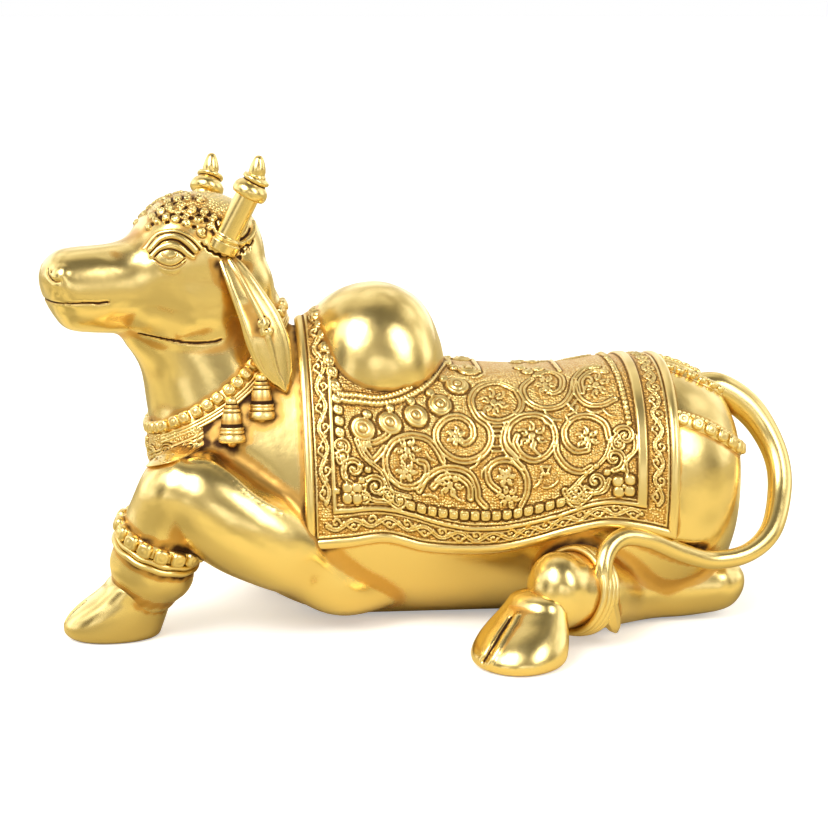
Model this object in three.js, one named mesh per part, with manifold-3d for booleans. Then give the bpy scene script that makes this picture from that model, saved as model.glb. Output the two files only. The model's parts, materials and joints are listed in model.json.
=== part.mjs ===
// Nandi bull figure: a reclining bull cast in brass as one solid piece, with its saddle cloth,
// necklace, bells, anklets and capped horns carved on it.
// Millimetres, +Z up, nose towards -X, the bull's left side towards -Y, resting on Z = 0.

import * as THREE from 'three';
import { mergeVertices } from 'three/addons/utils/BufferGeometryUtils.js';
import Module from 'manifold-3d';

const wasm = await Module();
wasm.setup();

// Driving dimensions

const figureLength = 292; // nose to the outer bend of the tail
const clothThickness = 1.8; // how far the saddle cloth stands off the hide
const clothRoot = 3; // how deep the cloth is rooted in the body
const rimWidth = 3.6; // rolled rim of the cloth
const rimHeight = 1.5;
const bandWidth = 9; // of the border, which holds a vine
const lineWidth = 1.9; // carved lines of the cloth
const lineHeight = 0.9;
const spiralWidth = 2;
const beadSize = 3.5; // square beads of the cloth, the necklace and the anklets
const beadHeight = 1.5;
const discRadius = 4.4; // discs that hang round the hump
const discHeight = 1.7;
const bossRadius = 4.2; // round bosses in the corners of the cloth and on the pendant
const bossHeight = 1.9;
const carvingRoot = 1; // how deep carved lines are rooted in what they stand on
const cordRadius = 1.3; // cords under the bead rows
const necklaceWidth = 8.5;
const necklaceHeight = 2.6;
const plateThickness = 1.8; // of the pendant
const plateRoot = 2.5;
const bellRadius = 4.6;
const bellLength = 17;
const strapWidth = 6; // of the crupper
const strapHeight = 2;
const tailRadius = 3.7;
const tailRootRadius = 6.4;
const tuftRadius = 4.6;
const hornRadius = 4.9; // of the bare shaft
const hornCapRadius = 6.8;
const hornCapLength = 8.6;
const finialRadius = 3.5;
const finialLength = 9;
const earThickness = 3.4;
const hoofCleftWidth = 1.3;
const browWidth = 1.8;
const browHeight = 0.8;
const grooveWidth = 1.8; // mouth and nostrils
const mouthDepth = 1.3;
const nostrilDepth = 1.1;
const solePlane = 0; // what the figure rests on

// The figure's pose and proportions: the tables are drawn for a length of 292

const share = figureLength / 292;
const headYaw = THREE.MathUtils.degToRad(20); // the head looks a little to the bull's left
const headPivot = [-72, 0];

// Rows of the trunk: x, lowest, widest and highest z, half width, roundness above and below
const trunkRows = [
  [-103.8, 66, 74, 80, 8, 2, 2],
  [-102.4, 55, 74, 98, 17, 2, 2.1],
  [-98, 44, 71, 109, 25, 2, 2.1],
  [-89, 32, 66, 114, 32, 1.9, 2.1],
  [-75, 21, 60, 116, 38, 1.8, 2],
  [-60, 11, 55, 115, 42, 1.7, 1.95],
  [-47, 4, 53, 116.5, 44.5, 1.6, 1.9],
  [-37, 1, 52, 122.3, 46, 1.5, 1.85],
  [-27, -0.7, 52, 115, 46.5, 1.7, 1.85],
  [-14, -0.8, 51, 104, 46.5, 2.1, 1.85],
  [12, -0.8, 50, 99.4, 46, 2.3, 1.85],
  [42, -0.8, 50, 97.4, 46, 2.3, 1.85],
  [60, -0.8, 50, 97.6, 47, 2.3, 1.9],
  [76, -0.5, 51, 99.8, 48.5, 2.3, 2],
  [95, 1.5, 52, 100.2, 48, 2.3, 2.1],
  [109, 6, 53, 97, 44.5, 2.3, 2.2],
  [120, 13, 54, 91.5, 37.5, 2.2, 2.2],
  [127, 25, 55, 81, 27, 2.1, 2.2],
  [130, 40, 57, 71, 13, 2, 2],
];

// Rows of the hump: x, widest z, highest z, half width
const humpRows = [
  [-44, 98, 118, 8],
  [-36, 98, 126.3, 18],
  [-26, 98, 132, 24],
  [-13, 98, 133.6, 26.5],
  [-1, 98, 128.8, 25],
  [6, 98, 121, 19],
  [10.8, 98, 109, 9],
];

// Rows of the neck: x, y, z, half length along x, half width
const neckRows = [
  [-70, 0, 62, 32, 30],
  [-74, 0, 84, 31.5, 31],
  [-79, -1, 102, 29, 26],
  [-81.8, -2, 114, 32.2, 22],
  [-79.5, -3, 126, 27.6, 20],
  [-80, -4, 142, 20.2, 18.5],
  [-78, -4, 152, 15.5, 16],
];

// Rows of the head, forward of the pivot: distance, lowest and highest z, half width, roundness
const headRows = [
  [-11, 136, 154, 10, 2],
  [-7.5, 125, 161, 16, 2.2],
  [-1, 117, 166.8, 20, 2.3],
  [8, 113.6, 169.8, 21.5, 2.3],
  [18, 113, 169.6, 21.5, 2.4],
  [27, 113.6, 166.8, 20.5, 2.4],
  [34, 115, 161, 19, 2.4],
  [38.5, 116, 155, 17.5, 2.4],
  [46, 117.2, 151.8, 16, 2.4],
  [64, 119.4, 150.8, 15, 2.2],
  [69.2, 124, 149.2, 14, 2.2],
  [72.8, 131, 145.6, 11, 2.1],
  [74.3, 136, 142.6, 6, 2],
];

// Limbs: centre x, y, z and radius, from one end to the other
const nearShank = [
  [-108, -28, 14, 12],
  [-107, -29, 19.5, 13.2],
  [-104.6, -30, 26, 16.8],
  [-103, -31.5, 33, 16],
  [-100.4, -33, 40, 16.2],
  [-97.5, -35, 49, 15.2],
  [-91, -37, 59, 17],
  [-84, -37, 64, 15],
];
const nearForearm = [
  [-98, -38, 66.5, 9],
  [-88.5, -38, 60.5, 17],
  [-72, -38, 48.6, 19.8],
  [-56, -36, 38.5, 18.6],
  [-44, -32, 31, 17.4],
  [-31, -29, 20, 14.6],
  [-14, -20, 19, 12.5],
];
const farForearm = [
  [-68, 27, 17, 9],
  [-58, 30, 18, 16],
  [-40, 34, 20, 18],
  [-22, 34, 22, 16],
];
const farShank = [
  [-62, 36, 10, 8],
  [-50, 44, 10.5, 10.5],
  [-36, 49, 10, 9],
  [-26, 51, 10, 9.5],
];
const nearCannon = [
  [129, -24, 16.4, 6],
  [122, -23, 14.6, 11.4],
  [107, -23, 12.6, 12],
  [92, -25, 12.4, 11.9],
  [79, -33, 13.8, 12.4],
  [68, -43, 17.6, 14.6],
  [60, -50.5, 20.6, 15.6],
  [52, -57, 23, 14],
];
const farCannon = [
  [127, 30, 17, 5],
  [121, 31, 14.5, 10.5],
  [106, 36, 12.5, 12],
  [88, 43, 12, 11.5],
  [72, 47, 12, 11],
  [58, 49, 13, 12.5],
  [50, 49, 13, 11],
];
const [rootGirth, tailGirth, tuftGirth] = [tailRootRadius / share, tailRadius / share, tuftRadius / share];
const tailPath = [
  [112, 0, 88, rootGirth],
  [123, 0, 88.4, rootGirth],
  [134, -1, 81.8, rootGirth * 0.98],
  [141.6, -4, 72.4, tailGirth * 1.5],
  [146, -10, 61, tailGirth * 1.34],
  [145.4, -18, 49.5, tailGirth * 1.3],
  [139, -30, 36.8, tailGirth * 1.16],
  [127.5, -38, 30, tailGirth],
  [113, -41.5, 28.6, tailGirth],
  [100, -45.5, 33, tailGirth],
  [86, -49.5, 39.8, tailGirth],
  [75.5, -52.5, 41.8, tailGirth],
  [68.5, -57, 38, tailGirth],
  [66, -61, 30, tuftGirth * 0.8],
  [67.5, -61, 19, tuftGirth],
  [71, -57, 9.5, tuftGirth * 0.7],
  [73, -54, 4.8, tuftGirth * 0.2],
];

// Ears: distance forward of the pivot, sideways, z and half width
const earRows = [
  [7.4, 21, 144.4, 4.6],
  [2.6, 27, 133, 7],
  [-1.2, 30, 123.5, 8.4],
  [-3.6, 31.5, 114.5, 8.8],
  [-6, 32.5, 104, 6.6],
  [-9, 33.2, 96.4, 1.6],
];

// Hem of the saddle cloth: x and z
const hemRows = [
  [-45, 38.2],
  [-31, 39.2],
  [-16, 41],
  [-1, 37],
  [13, 35.4],
  [28, 35.4],
  [42, 38],
  [57, 42.2],
  [72, 45],
  [86, 43.2],
  [98, 40],
];
const clothFront = [-46.8, -44.6]; // x of the front edge, on the spine and at the hem
const humpMiddle = -11;
const humpOpening = [25.5, 28]; // of the cloth's opening: half length and half width
const clothRear = [99.4, 96.6]; // x of the rear edge, on the spine and at the hem

// Necklace on the bull's left half: x, y, z of points close to the hide
const necklacePoints = [
  [-106, 0, 75.5],
  [-103.5, -14, 77.5],
  [-95, -24, 82],
  [-82, -31, 88.5],
  [-70, -32, 96.5],
  [-61, -28, 105],
  [-55, -19, 115],
  [-52, -9, 122],
  [-51, 0, 124],
];

// Helpers

const vector = (x, y, z) => new THREE.Vector3(x, y, z);
const drawn = (x, y, z) => vector(x, y, z).multiplyScalar(share);

// A point of the head: forward of the pivot, sideways (minus is the bull's left) and up
function headPoint(forward, sideways, up) {
  return drawn(
    headPivot[0] - forward * Math.cos(headYaw) - sideways * Math.sin(headYaw),
    headPivot[1] - forward * Math.sin(headYaw) + sideways * Math.cos(headYaw),
    up,
  );
}

// A smooth value between the entries of a list, at a place counted in entries
function smooth(values, place) {
  const last = values.length - 1;
  const index = Math.min(Math.max(Math.floor(place), 0), last - 1);
  const t = place - index;
  const [a, b] = [values[index], values[index + 1]];
  const before = index > 0 ? values[index - 1] : 2 * a - b;
  const after = index < last - 1 ? values[index + 2] : 2 * b - a;
  const rise = (b - before) / 2;
  const fall = (after - a) / 2;
  return a + t * (rise + t * (3 * (b - a) - 2 * rise - fall + t * (2 * (a - b) + rise + fall)));
}

// A smooth table: every column at a place counted in rows
function smoothRow(rows, place) {
  return rows[0].map((_, column) => smooth(rows.map((row) => row[column]), place));
}

// The place in a table whose first column is the given x
function placeOf(rows, x) {
  const last = rows.length - 1;
  let index = 0;
  while (index < last - 1 && rows[index + 1][0] < x) index += 1;
  let [low, high] = [index, index + 1];
  for (let step = 0; step < 24; step++) {
    const middle = (low + high) / 2;
    if (smooth(rows.map((row) => row[0]), middle) < x) low = middle;
    else high = middle;
  }
  return low;
}

const power = (value, roundness) => Math.sign(value) * Math.abs(value) ** (2 / roundness);

// The outline point of a section at an angle from its top
function outline(section, angle) {
  const up = Math.cos(angle);
  const across = Math.sin(angle);
  const roundness = up >= 0 ? section.roundAbove : section.roundBelow;
  return section.centre
    .clone()
    .addScaledVector(section.side, section.half * power(across, roundness))
    .addScaledVector(section.up, (up >= 0 ? section.above : section.below) * power(up, roundness));
}

function toSolid(geometry) {
  geometry.deleteAttribute('normal');
  geometry.deleteAttribute('uv');
  const merged = mergeVertices(geometry, 1e-5);
  const points = merged.attributes.position;
  const triangles = merged.index.array;
  const [a, b, c] = [vector(0, 0, 0), vector(0, 0, 0), vector(0, 0, 0)];
  let volume = 0;
  for (let i = 0; i < triangles.length; i += 3) {
    a.fromBufferAttribute(points, triangles[i]);
    b.fromBufferAttribute(points, triangles[i + 1]);
    c.fromBufferAttribute(points, triangles[i + 2]);
    volume += a.dot(b.cross(c));
  }
  const triVerts = Uint32Array.from(triangles);
  if (volume < 0) {
    for (let i = 0; i < triVerts.length; i += 3) {
      [triVerts[i + 1], triVerts[i + 2]] = [triVerts[i + 2], triVerts[i + 1]];
    }
  }
  const mesh = new wasm.Mesh({ numProp: 3, vertProperties: Float32Array.from(points.array), triVerts });
  return new wasm.Manifold(mesh);
}

const join = (solids) => solids.reduce((whole, solid) => whole.add(solid));

// A closed skin over sections, whose first and last rows close to points
function skin(sections, firstPole, lastPole, sides) {
  const geometry = new THREE.SphereGeometry(1, sides, sections.length + 1);
  const points = geometry.attributes.position;
  for (let row = 0; row <= sections.length + 1; row++) {
    for (let side = 0; side <= sides; side++) {
      let point = row === 0 ? firstPole : lastPole;
      if (row > 0 && row <= sections.length) {
        point = outline(sections[row - 1], ((side % sides) / sides) * 2 * Math.PI);
      }
      points.setXYZ(row * (sides + 1) + side, point.x, point.y, point.z);
    }
  }
  return toSolid(geometry);
}

// A limb: round sections square to a smooth path of centres, with rounded ends
function limb(rows, sides, steps) {
  const centreAt = (place) => drawn(...smoothRow(rows, place).slice(0, 3));
  const last = rows.length - 1;
  const sections = [];
  for (let step = 0; step <= steps; step++) {
    const place = (step / steps) * last;
    const ahead = centreAt(Math.min(place + 0.05, last)).sub(centreAt(Math.max(place - 0.05, 0)));
    const forward = ahead.normalize();
    const side = vector(0, 0, 1).cross(forward);
    if (side.length() < 0.3) side.copy(vector(0, 1, 0).cross(forward));
    side.normalize();
    const radius = smoothRow(rows, place)[3] * share;
    const up = forward.clone().cross(side);
    sections.push({
      centre: centreAt(place),
      forward,
      side,
      up,
      half: radius,
      above: radius,
      below: radius,
      roundAbove: 2,
      roundBelow: 2,
    });
  }
  const [start, end] = [sections[0], sections[steps]];
  const firstPole = start.centre.clone().addScaledVector(start.forward, -start.above * 0.45);
  const lastPole = end.centre.clone().addScaledVector(end.forward, end.above * 0.45);
  return skin(sections, firstPole, lastPole, sides);
}

// A raised line on a surface: a low ridge that follows places, each a point with its outward normal
// and, where the line rises and falls, its share of the height
const sharpRidge = [[-0.5, 0], [0, 1], [0.5, 0]];
const broadRidge = [[-0.5, 0], [-0.34, 1], [0.34, 1], [0.5, 0]];
const grooveShape = [[0, 0], [-0.5, 1], [0.5, 1]];
const bossProfile = [[0, -1], [bossRadius, -1], [bossRadius * 0.85, bossHeight * 0.7], [0, bossHeight]];
const necklaceShape = [[-0.5, 0], [-0.36, 1], [0.3, 1], [0.5, 0]];

function ridge(places, shape, width, height, root, closed = false) {
  const count = places.length;
  const rows = places.map(({ point, normal, rise = 1 }, i) => {
    const before = places[closed ? (i + count - 1) % count : Math.max(i - 1, 0)].point;
    const after = places[closed ? (i + 1) % count : Math.min(i + 1, count - 1)].point;
    const across = after.clone().sub(before).cross(normal).normalize();
    return shape.map(([out, up]) => point.clone()
      .addScaledVector(across, out * width)
      .addScaledVector(normal, up * (height * rise + root) - root));
  });
  if (closed) {
    const ring = new THREE.TorusGeometry(1, 0.3, shape.length, count);
    const place = ring.attributes.position;
    for (let corner = 0; corner <= shape.length; corner++) {
      for (let step = 0; step <= count; step++) {
        const point = rows[step % count][corner % shape.length];
        place.setXYZ(corner * (count + 1) + step, point.x, point.y, point.z);
      }
    }
    return toSolid(ring);
  }
  const strip = new THREE.SphereGeometry(1, shape.length, count + 1);
  const place = strip.attributes.position;
  for (let row = 0; row < count + 2; row++) {
    const nearest = rows[Math.min(Math.max(row - 1, 0), count - 1)];
    const end = row === 0 || row === count + 1;
    const middle = nearest.reduce((sum, each) => sum.add(each), vector(0, 0, 0)).divideScalar(shape.length);
    for (let corner = 0; corner <= shape.length; corner++) {
      const point = end ? middle : nearest[corner % shape.length];
      place.setXYZ(row * (shape.length + 1) + corner, point.x, point.y, point.z);
    }
  }
  return toSolid(strip);
}

// A row of beads as one line that rises at each bead and falls between them
function beadRow(placeAt, beads, size, height) {
  const places = [];
  const steps = beads * 2;
  for (let i = 0; i <= steps; i++) places.push({ ...placeAt(i / steps), rise: i % 2 === 0 ? 0.1 : 1 });
  return ridge(places, sharpRidge, size, height, 1);
}

// A solid of revolution from a profile of radius and height, stood on a point along an axis
function turned(profile, foot, axis, sides) {
  const geometry = new THREE.LatheGeometry(profile.map(([r, h]) => new THREE.Vector2(r, h)), sides);
  const turn = new THREE.Quaternion().setFromUnitVectors(vector(0, 1, 0), axis.clone().normalize());
  geometry.applyQuaternion(turn);
  geometry.translate(foot.x, foot.y, foot.z);
  return toSolid(geometry);
}

// The trunk's own surface, which the cloth and its carving follow

function trunkSection(x) {
  const [, low, widest, high, half, above, below] = smoothRow(trunkRows, placeOf(trunkRows, x));
  return {
    centre: drawn(x, 0, widest),
    side: vector(0, -1, 0),
    up: vector(0, 0, 1),
    half: half * share,
    above: (high - widest) * share,
    below: (widest - low) * share,
    roundAbove: above,
    roundBelow: below,
  };
}

// Angle on the trunk's section where its surface comes down to a height
function angleAtHeight(section, height) {
  let [low, high] = [0.2, Math.PI * 0.9];
  for (let step = 0; step < 30; step++) {
    const middle = (low + high) / 2;
    if (outline(section, middle).z > height) low = middle;
    else high = middle;
  }
  return low;
}

const hemHeight = (x) => smoothRow(hemRows, placeOf(hemRows, x))[1] * share;
const hemAngle = (x) => angleAtHeight(trunkSection(x), hemHeight(x));

// A point of the cloth: along from the front edge to the rear one, down from spine to hem,
// both from 0 to 1, a negative down on the bull's right; lift is measured off the hide
function clothPoint(along, down, lift) {
  const front = THREE.MathUtils.lerp(clothFront[0], clothFront[1], Math.abs(down));
  const rear = THREE.MathUtils.lerp(clothRear[0], clothRear[1], Math.abs(down));
  const x = THREE.MathUtils.lerp(front, rear, along);
  const section = trunkSection(x);
  const angle = evenAngle(section, Math.abs(down), hemAngle(x)) * Math.sign(down || 1);
  const step = 0.02;
  const here = outline(section, angle);
  const around = outline(section, angle + step).sub(outline(section, angle - step));
  const onward = outline(trunkSection(x + 1), angle).sub(outline(trunkSection(x - 1), angle));
  const normal = onward.cross(around).normalize();
  if (normal.dot(here.clone().sub(section.centre)) < 0) normal.negate();
  return { point: here.addScaledVector(normal, lift), normal };
}

// The angle at a share of the way from the spine to an end angle, in even steps of cloth
function evenAngle(section, shareDown, endAngle) {
  const steps = 24;
  const lengths = [0];
  let last = outline(section, 0);
  for (let i = 1; i <= steps; i++) {
    const next = outline(section, (i / steps) * endAngle);
    lengths.push(lengths[i - 1] + next.distanceTo(last));
    last = next;
  }
  const target = shareDown * lengths[steps];
  let index = 1;
  while (index < steps && lengths[index] < target) index += 1;
  const part = (target - lengths[index - 1]) / (lengths[index] - lengths[index - 1]);
  return ((index - 1 + part) / steps) * endAngle;
}

// Trunk, hump and neck

function trunk() {
  const marks = [-103.6, -100, -90, -72, -52, -38, -22, 10, 44, 76, 102, 118, 128.8];
  const sections = marks.map(trunkSection);
  return skin(sections, drawn(-104.6, 0, 74), drawn(131, 0, 57), 16);
}

function hump() {
  const sections = [];
  for (let place = 0; place <= humpRows.length - 1; place += 1) {
    const [x, widest, high, half] = smoothRow(humpRows, place);
    sections.push({
      centre: drawn(x, 0, widest),
      side: vector(0, -1, 0),
      up: vector(0, 0, 1),
      half: half * share,
      above: (high - widest) * share,
      below: 12 * share,
      roundAbove: 2.1,
      roundBelow: 2,
    });
  }
  return skin(sections, drawn(-47, 0, 108), drawn(12.2, 0, 101), 12);
}

function neck() {
  const sections = [];
  for (let place = 0; place <= neckRows.length - 1; place += 1) {
    const [x, y, z, length, half] = smoothRow(neckRows, place);
    const turn = headYaw * (place / (neckRows.length - 1));
    const along = vector(-Math.cos(turn), -Math.sin(turn), 0);
    sections.push({
      centre: drawn(x, y, z),
      side: vector(0, 0, 1).cross(along),
      up: along,
      half: half * share,
      above: length * share,
      below: length * share,
      roundAbove: 2.2,
      roundBelow: 2.2,
    });
  }
  return skin(sections, drawn(-70, 0, 55), drawn(-78, -4, 158), 12);
}

// Head, horns and ears

function headSection(place) {
  const [forward, low, high, half, roundness] = smoothRow(headRows, place);
  return {
    centre: headPoint(forward, 0, (low + high) / 2),
    side: vector(-Math.sin(headYaw), Math.cos(headYaw), 0),
    up: vector(0, 0, 1),
    half: half * share,
    above: ((high - low) / 2) * share,
    below: ((high - low) / 2) * share,
    roundAbove: roundness,
    roundBelow: roundness,
  };
}

function skull() {
  const sections = [];
  for (let place = 0; place < headRows.length; place++) sections.push(headSection(place));
  return skin(sections, headPoint(-12.4, 0, 145), headPoint(75.2, 0, 139.6), 12);
}

// A point of the head's side: forward and up, on the surface of the given side
function cheek(forward, up, handed, lift = 0) {
  const place = placeOf(headRows, forward);
  const section = headSection(place);
  const height = (up * share - section.centre.z) / section.above;
  const roundness = section.roundAbove;
  const out = section.half * (1 - Math.min(Math.abs(height), 0.98) ** roundness) ** (1 / roundness);
  const fromTop = Math.abs(height) ** (roundness - 1) * Math.sign(height) / section.above;
  const fromSide = (out / section.half) ** (roundness - 1) / section.half;
  const normal = section.side.clone().multiplyScalar(handed * fromSide).addScaledVector(section.up, fromTop);
  normal.normalize();
  const point = headPoint(forward, 0, up).addScaledVector(section.side, handed * out);
  return { point: point.addScaledVector(normal, lift), normal };
}

// The eye: an almond rim round a low lens, under one or two brow ridges
function eye(handed) {
  const [middle, level] = [30.4, 147.6];
  const rim = [];
  for (let i = 0; i < 6; i++) {
    const angle = (i / 6) * 2 * Math.PI;
    const flat = Math.abs(Math.sin(angle)) ** 1.25 * Math.sign(Math.sin(angle));
    rim.push(cheek(middle + 6.4 * Math.cos(angle), level + 3.7 * flat, handed));
  }
  const lens = cheek(middle, level, handed, -1.2).point;
  const ball = toSolid(new THREE.SphereGeometry(2.6 * share, 5, 4).translate(lens.x, lens.y, lens.z));
  const brow = (low, peak, reach) => {
    const places = [];
    for (let i = 0; i <= 3; i++) {
      const t = i / 3;
      const up = low + (peak - low) * Math.sin(Math.PI * t) ** 0.8;
      places.push(cheek(middle + reach * (1 - 2 * t), up, handed));
    }
    return ridge(places, sharpRidge, browWidth, browHeight, 1.2);
  };
  const pieces = [ridge(rim, sharpRidge, browWidth, browHeight, 1.2, true), ball, brow(149.8, 156, 10.4)];
  if (handed < 0) pieces.push(brow(151.6, 159, 11.6));
  return pieces;
}

// The mouth: a groove round the muzzle, cut from the head
function mouthGroove() {
  const places = [];
  for (const handed of [-1, 1]) {
    const half = [];
    for (let forward = 53; forward <= 73; forward += 5) {
      half.push(cheek(forward, 131 + Math.max(forward - 66, 0) * 0.25, handed, -mouthDepth));
    }
    places.push(...(handed < 0 ? half : half.reverse()));
  }
  return ridge(places, grooveShape, grooveWidth, mouthDepth * 2, 0);
}

function nostrils() {
  return [-1, 1].map((handed) => {
    const places = [];
    for (let i = 0; i <= 4; i++) {
      const angle = THREE.MathUtils.degToRad(-150 + i * 42);
      places.push(cheek(68.4 + 2.4 * Math.cos(angle), 142 + 2.6 * Math.sin(angle), handed, -nostrilDepth));
    }
    return ridge(places, grooveShape, grooveWidth, nostrilDepth * 2, 0);
  });
}

// A capped horn: a leaning shaft in stepped rings, a bulb with a ledge and an upright finial
function horn(handed) {
  const foot = headPoint(8.6, handed * 18, 152);
  const cap = handed < 0 ? headPoint(0.3, -22.4, 169.6) : headPoint(1.7, 22.6, 167.4);
  const lean = cap.clone().sub(foot);
  const length = lean.length();
  lean.normalize();
  const rings = [[0, -3], [2, -3], [2, 2.6], [1.62, 4], [1.55, 5.6], [1, 7.4]];
  const shaft = rings.map(([r, h]) => [r * hornRadius, h * share]);
  shaft.push([hornRadius * 0.88, length + 1], [0, length + 1]);
  const bulb = [[0, 0], [0.9, 0], [1, 0.4], [0.78, 0.66], [0.76, 0.94], [0, 0.94]];
  const finial = [[0, 0], [1, 0], [1, 0.16], [0.46, 0.92], [0, 1]];
  const top = cap.clone().addScaledVector(lean, hornCapLength * 0.82);
  const upright = lean.clone().multiplyScalar(0.35).add(vector(0, 0, 0.8));
  return [
    turned(shaft, foot, lean, 7),
    turned(bulb.map(([r, h]) => [r * hornCapRadius, h * hornCapLength]), cap, lean, 7),
    turned(finial.map(([r, h]) => [r * finialRadius, h * finialLength]), top, upright, 5),
  ];
}

// A hanging ear: a leaf with a ridge down its middle
function ear(handed) {
  const sections = [];
  const facing = vector(-Math.sin(headYaw), Math.cos(headYaw), 0).multiplyScalar(handed);
  const along = vector(-Math.cos(headYaw), -Math.sin(headYaw), 0);
  for (let place = 0; place < earRows.length; place++) {
    const [forward, sideways, up, half] = smoothRow(earRows, place);
    sections.push({
      centre: headPoint(forward, handed * sideways, up),
      side: along,
      up: facing,
      half: half * share,
      above: earThickness * 0.6,
      below: earThickness * 0.4,
      roundAbove: 1.5,
      roundBelow: 2,
    });
  }
  return skin(sections, headPoint(10, handed * 15, 148), headPoint(-10.2, handed * 33.4, 94.2), 7);
}

// Small curls over the brow, from one side to the other
function curls() {
  const beads = [];
  for (let i = 0; i <= 4; i++) {
    const across = (i / 4) * 2 - 1;
    const forward = 33 - 13 * Math.abs(across) ** 1.6;
    const section = headSection(placeOf(headRows, forward));
    const angle = across * 1.15;
    const point = outline(section, angle);
    beads.push(toSolid(new THREE.SphereGeometry(3.1 * share, 5, 3).translate(point.x, point.y, point.z)));
  }
  return beads;
}

// Hooves

// A cloven hoof: sole and coronet are ovals that face the toe, with the cleft cut at the toe
function hoof(sole, coronet, toe, sides) {
  const forward = vector(Math.cos(toe), Math.sin(toe), 0);
  const side = vector(0, 0, 1).cross(forward);
  const sections = [];
  const rings = 3;
  for (let i = 0; i <= rings; i++) {
    const t = i / rings;
    const from = (column, shape) => sole[column] + (coronet[column] - sole[column]) * t ** shape;
    const [x, y, z] = [from(0, 1.7), from(1, 1.7), from(2, 1)];
    const front = from(3, 2.4) + Math.sin(Math.PI * t) * sole[3] * 0.07;
    const back = coronet[3] + (sole[3] - coronet[3]) * 0.6 * (1 - t);
    const half = from(4, 2);
    sections.push({
      centre: drawn(x, y, z),
      side,
      up: forward,
      half: half * share,
      above: front * share,
      below: back * share,
      roundAbove: 2.1,
      roundBelow: 2.1,
    });
  }
  const first = sections[0].centre.clone().add(vector(0, 0, -0.1));
  const body = skin(sections, first, sections[rings].centre.clone().add(drawn(0, 0, 1)), sides);
  const cut = new THREE.BoxGeometry(sole[3] * 0.9 * share, hoofCleftWidth, 60 * share);
  cut.rotateZ(toe);
  const front = sections[0].centre.clone().addScaledVector(forward, sole[3] * 1.25 * share);
  cut.translate(front.x, front.y, front.z);
  return body.subtract(toSolid(cut));
}

// Rings of cord round a limb, with a row of beads above them

function limbFrame(rows, place) {
  const centreAt = (at) => drawn(...smoothRow(rows, at).slice(0, 3));
  const forward = centreAt(place + 0.1).sub(centreAt(place - 0.1)).normalize();
  return { centre: centreAt(place), forward, radius: smoothRow(rows, place)[3] * share };
}

function anklet(rows, place, cords, beads) {
  const { centre, forward, radius } = limbFrame(rows, place);
  const profile = [[0, 0], [radius - cordRadius, 0]];
  for (let i = 0; i < cords; i++) {
    profile.push([radius + cordRadius * 1.7, (i + 0.5) * cordRadius * 2]);
    profile.push([radius + cordRadius * 0.9, (i + 1) * cordRadius * 2]);
  }
  const row = cords * cordRadius * 2;
  profile[profile.length - 1][0] = radius - cordRadius;
  profile.push([0, row]);
  const pieces = [turned(profile, centre, forward, 8)];
  if (beads === 0) return pieces;
  const start = vector(0, 0, 1).cross(forward).normalize();
  const middleOfBeads = centre.clone().addScaledVector(forward, row + beadSize * 0.7);
  const places = [];
  for (let i = 0; i < beads * 2; i++) {
    const normal = start.clone().applyAxisAngle(forward, (i / beads) * Math.PI);
    const point = middleOfBeads.clone().addScaledVector(normal, radius);
    places.push({ point, normal, rise: i % 2 });
  }
  pieces.push(ridge(places, sharpRidge, beadSize * 1.5, beadHeight * 1.3, carvingRoot * 2, true));
  return pieces;
}

// The saddle cloth and its carving

// Distance in from an edge of the cloth, and the height of the carving there
const edgeRows = [
  [0, 0.1],
  [rimWidth / 2, rimHeight],
  [rimWidth, 0],
  [rimWidth + bandWidth, 0],
  [rimWidth + bandWidth + lineWidth / 2, lineHeight],
  [rimWidth + bandWidth + lineWidth, 0],
];

// Marks across the cloth from 0 to 1, with the edge rows at both ends and plain steps between
function clothMarks(length, steps) {
  const near = edgeRows.map(([inset, height]) => [inset / length, height]);
  const far = edgeRows.map(([inset, height]) => [1 - inset / length, height]).reverse();
  const start = near[near.length - 1][0];
  const plain = [];
  for (let i = 1; i < steps; i++) plain.push([start + (1 - 2 * start) * (i / steps), 0]);
  return [...near, ...plain, ...far];
}

function clothSlab() {
  const across = clothMarks(clothWidth, 4);
  const round = clothMarks(clothDrop * 2, 7);
  const geometry = new THREE.BoxGeometry(1, 1, 1, across.length - 1, round.length - 1, 1);
  const points = geometry.attributes.position;
  for (let i = 0; i < points.count; i++) {
    const [along, heightAlong] = across[Math.round((points.getX(i) + 0.5) * (across.length - 1))];
    const [down, heightDown] = round[Math.round((points.getY(i) + 0.5) * (round.length - 1))];
    const height = Math.max(heightAlong, heightDown);
    const lift = points.getZ(i) > 0 ? clothThickness + height : -clothRoot;
    const { point } = clothPoint(along, down * 2 - 1, lift);
    points.setXYZ(i, point.x, point.y, point.z);
  }
  return toSolid(geometry);
}

const clothWidth = (clothRear[0] - clothFront[0]) * share; // along the spine
const clothDrop = 92 * share; // from the spine to the hem
const alongOf = (distance) => distance / clothWidth;
const downOf = (distance) => distance / clothDrop;

// A place on the cloth's own faces, for carving that stands on them
function onCloth(cloth, along, down) {
  const { point, normal } = clothPoint(along, down, clothThickness);
  const start = point.clone().addScaledVector(normal, clothThickness * 3);
  const ray = new THREE.Raycaster(start, normal.clone().negate(), 0, clothThickness * 6);
  const hits = ray.intersectObject(cloth, false);
  return { point: hits.length > 0 ? hits[0].point : point, normal };
}

// A line on the cloth through places given as along and down
function clothLine(cloth, places, width) {
  const seats = places.map(([along, down]) => onCloth(cloth, along, down));
  return ridge(seats, sharpRidge, width, lineHeight, carvingRoot);
}

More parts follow.
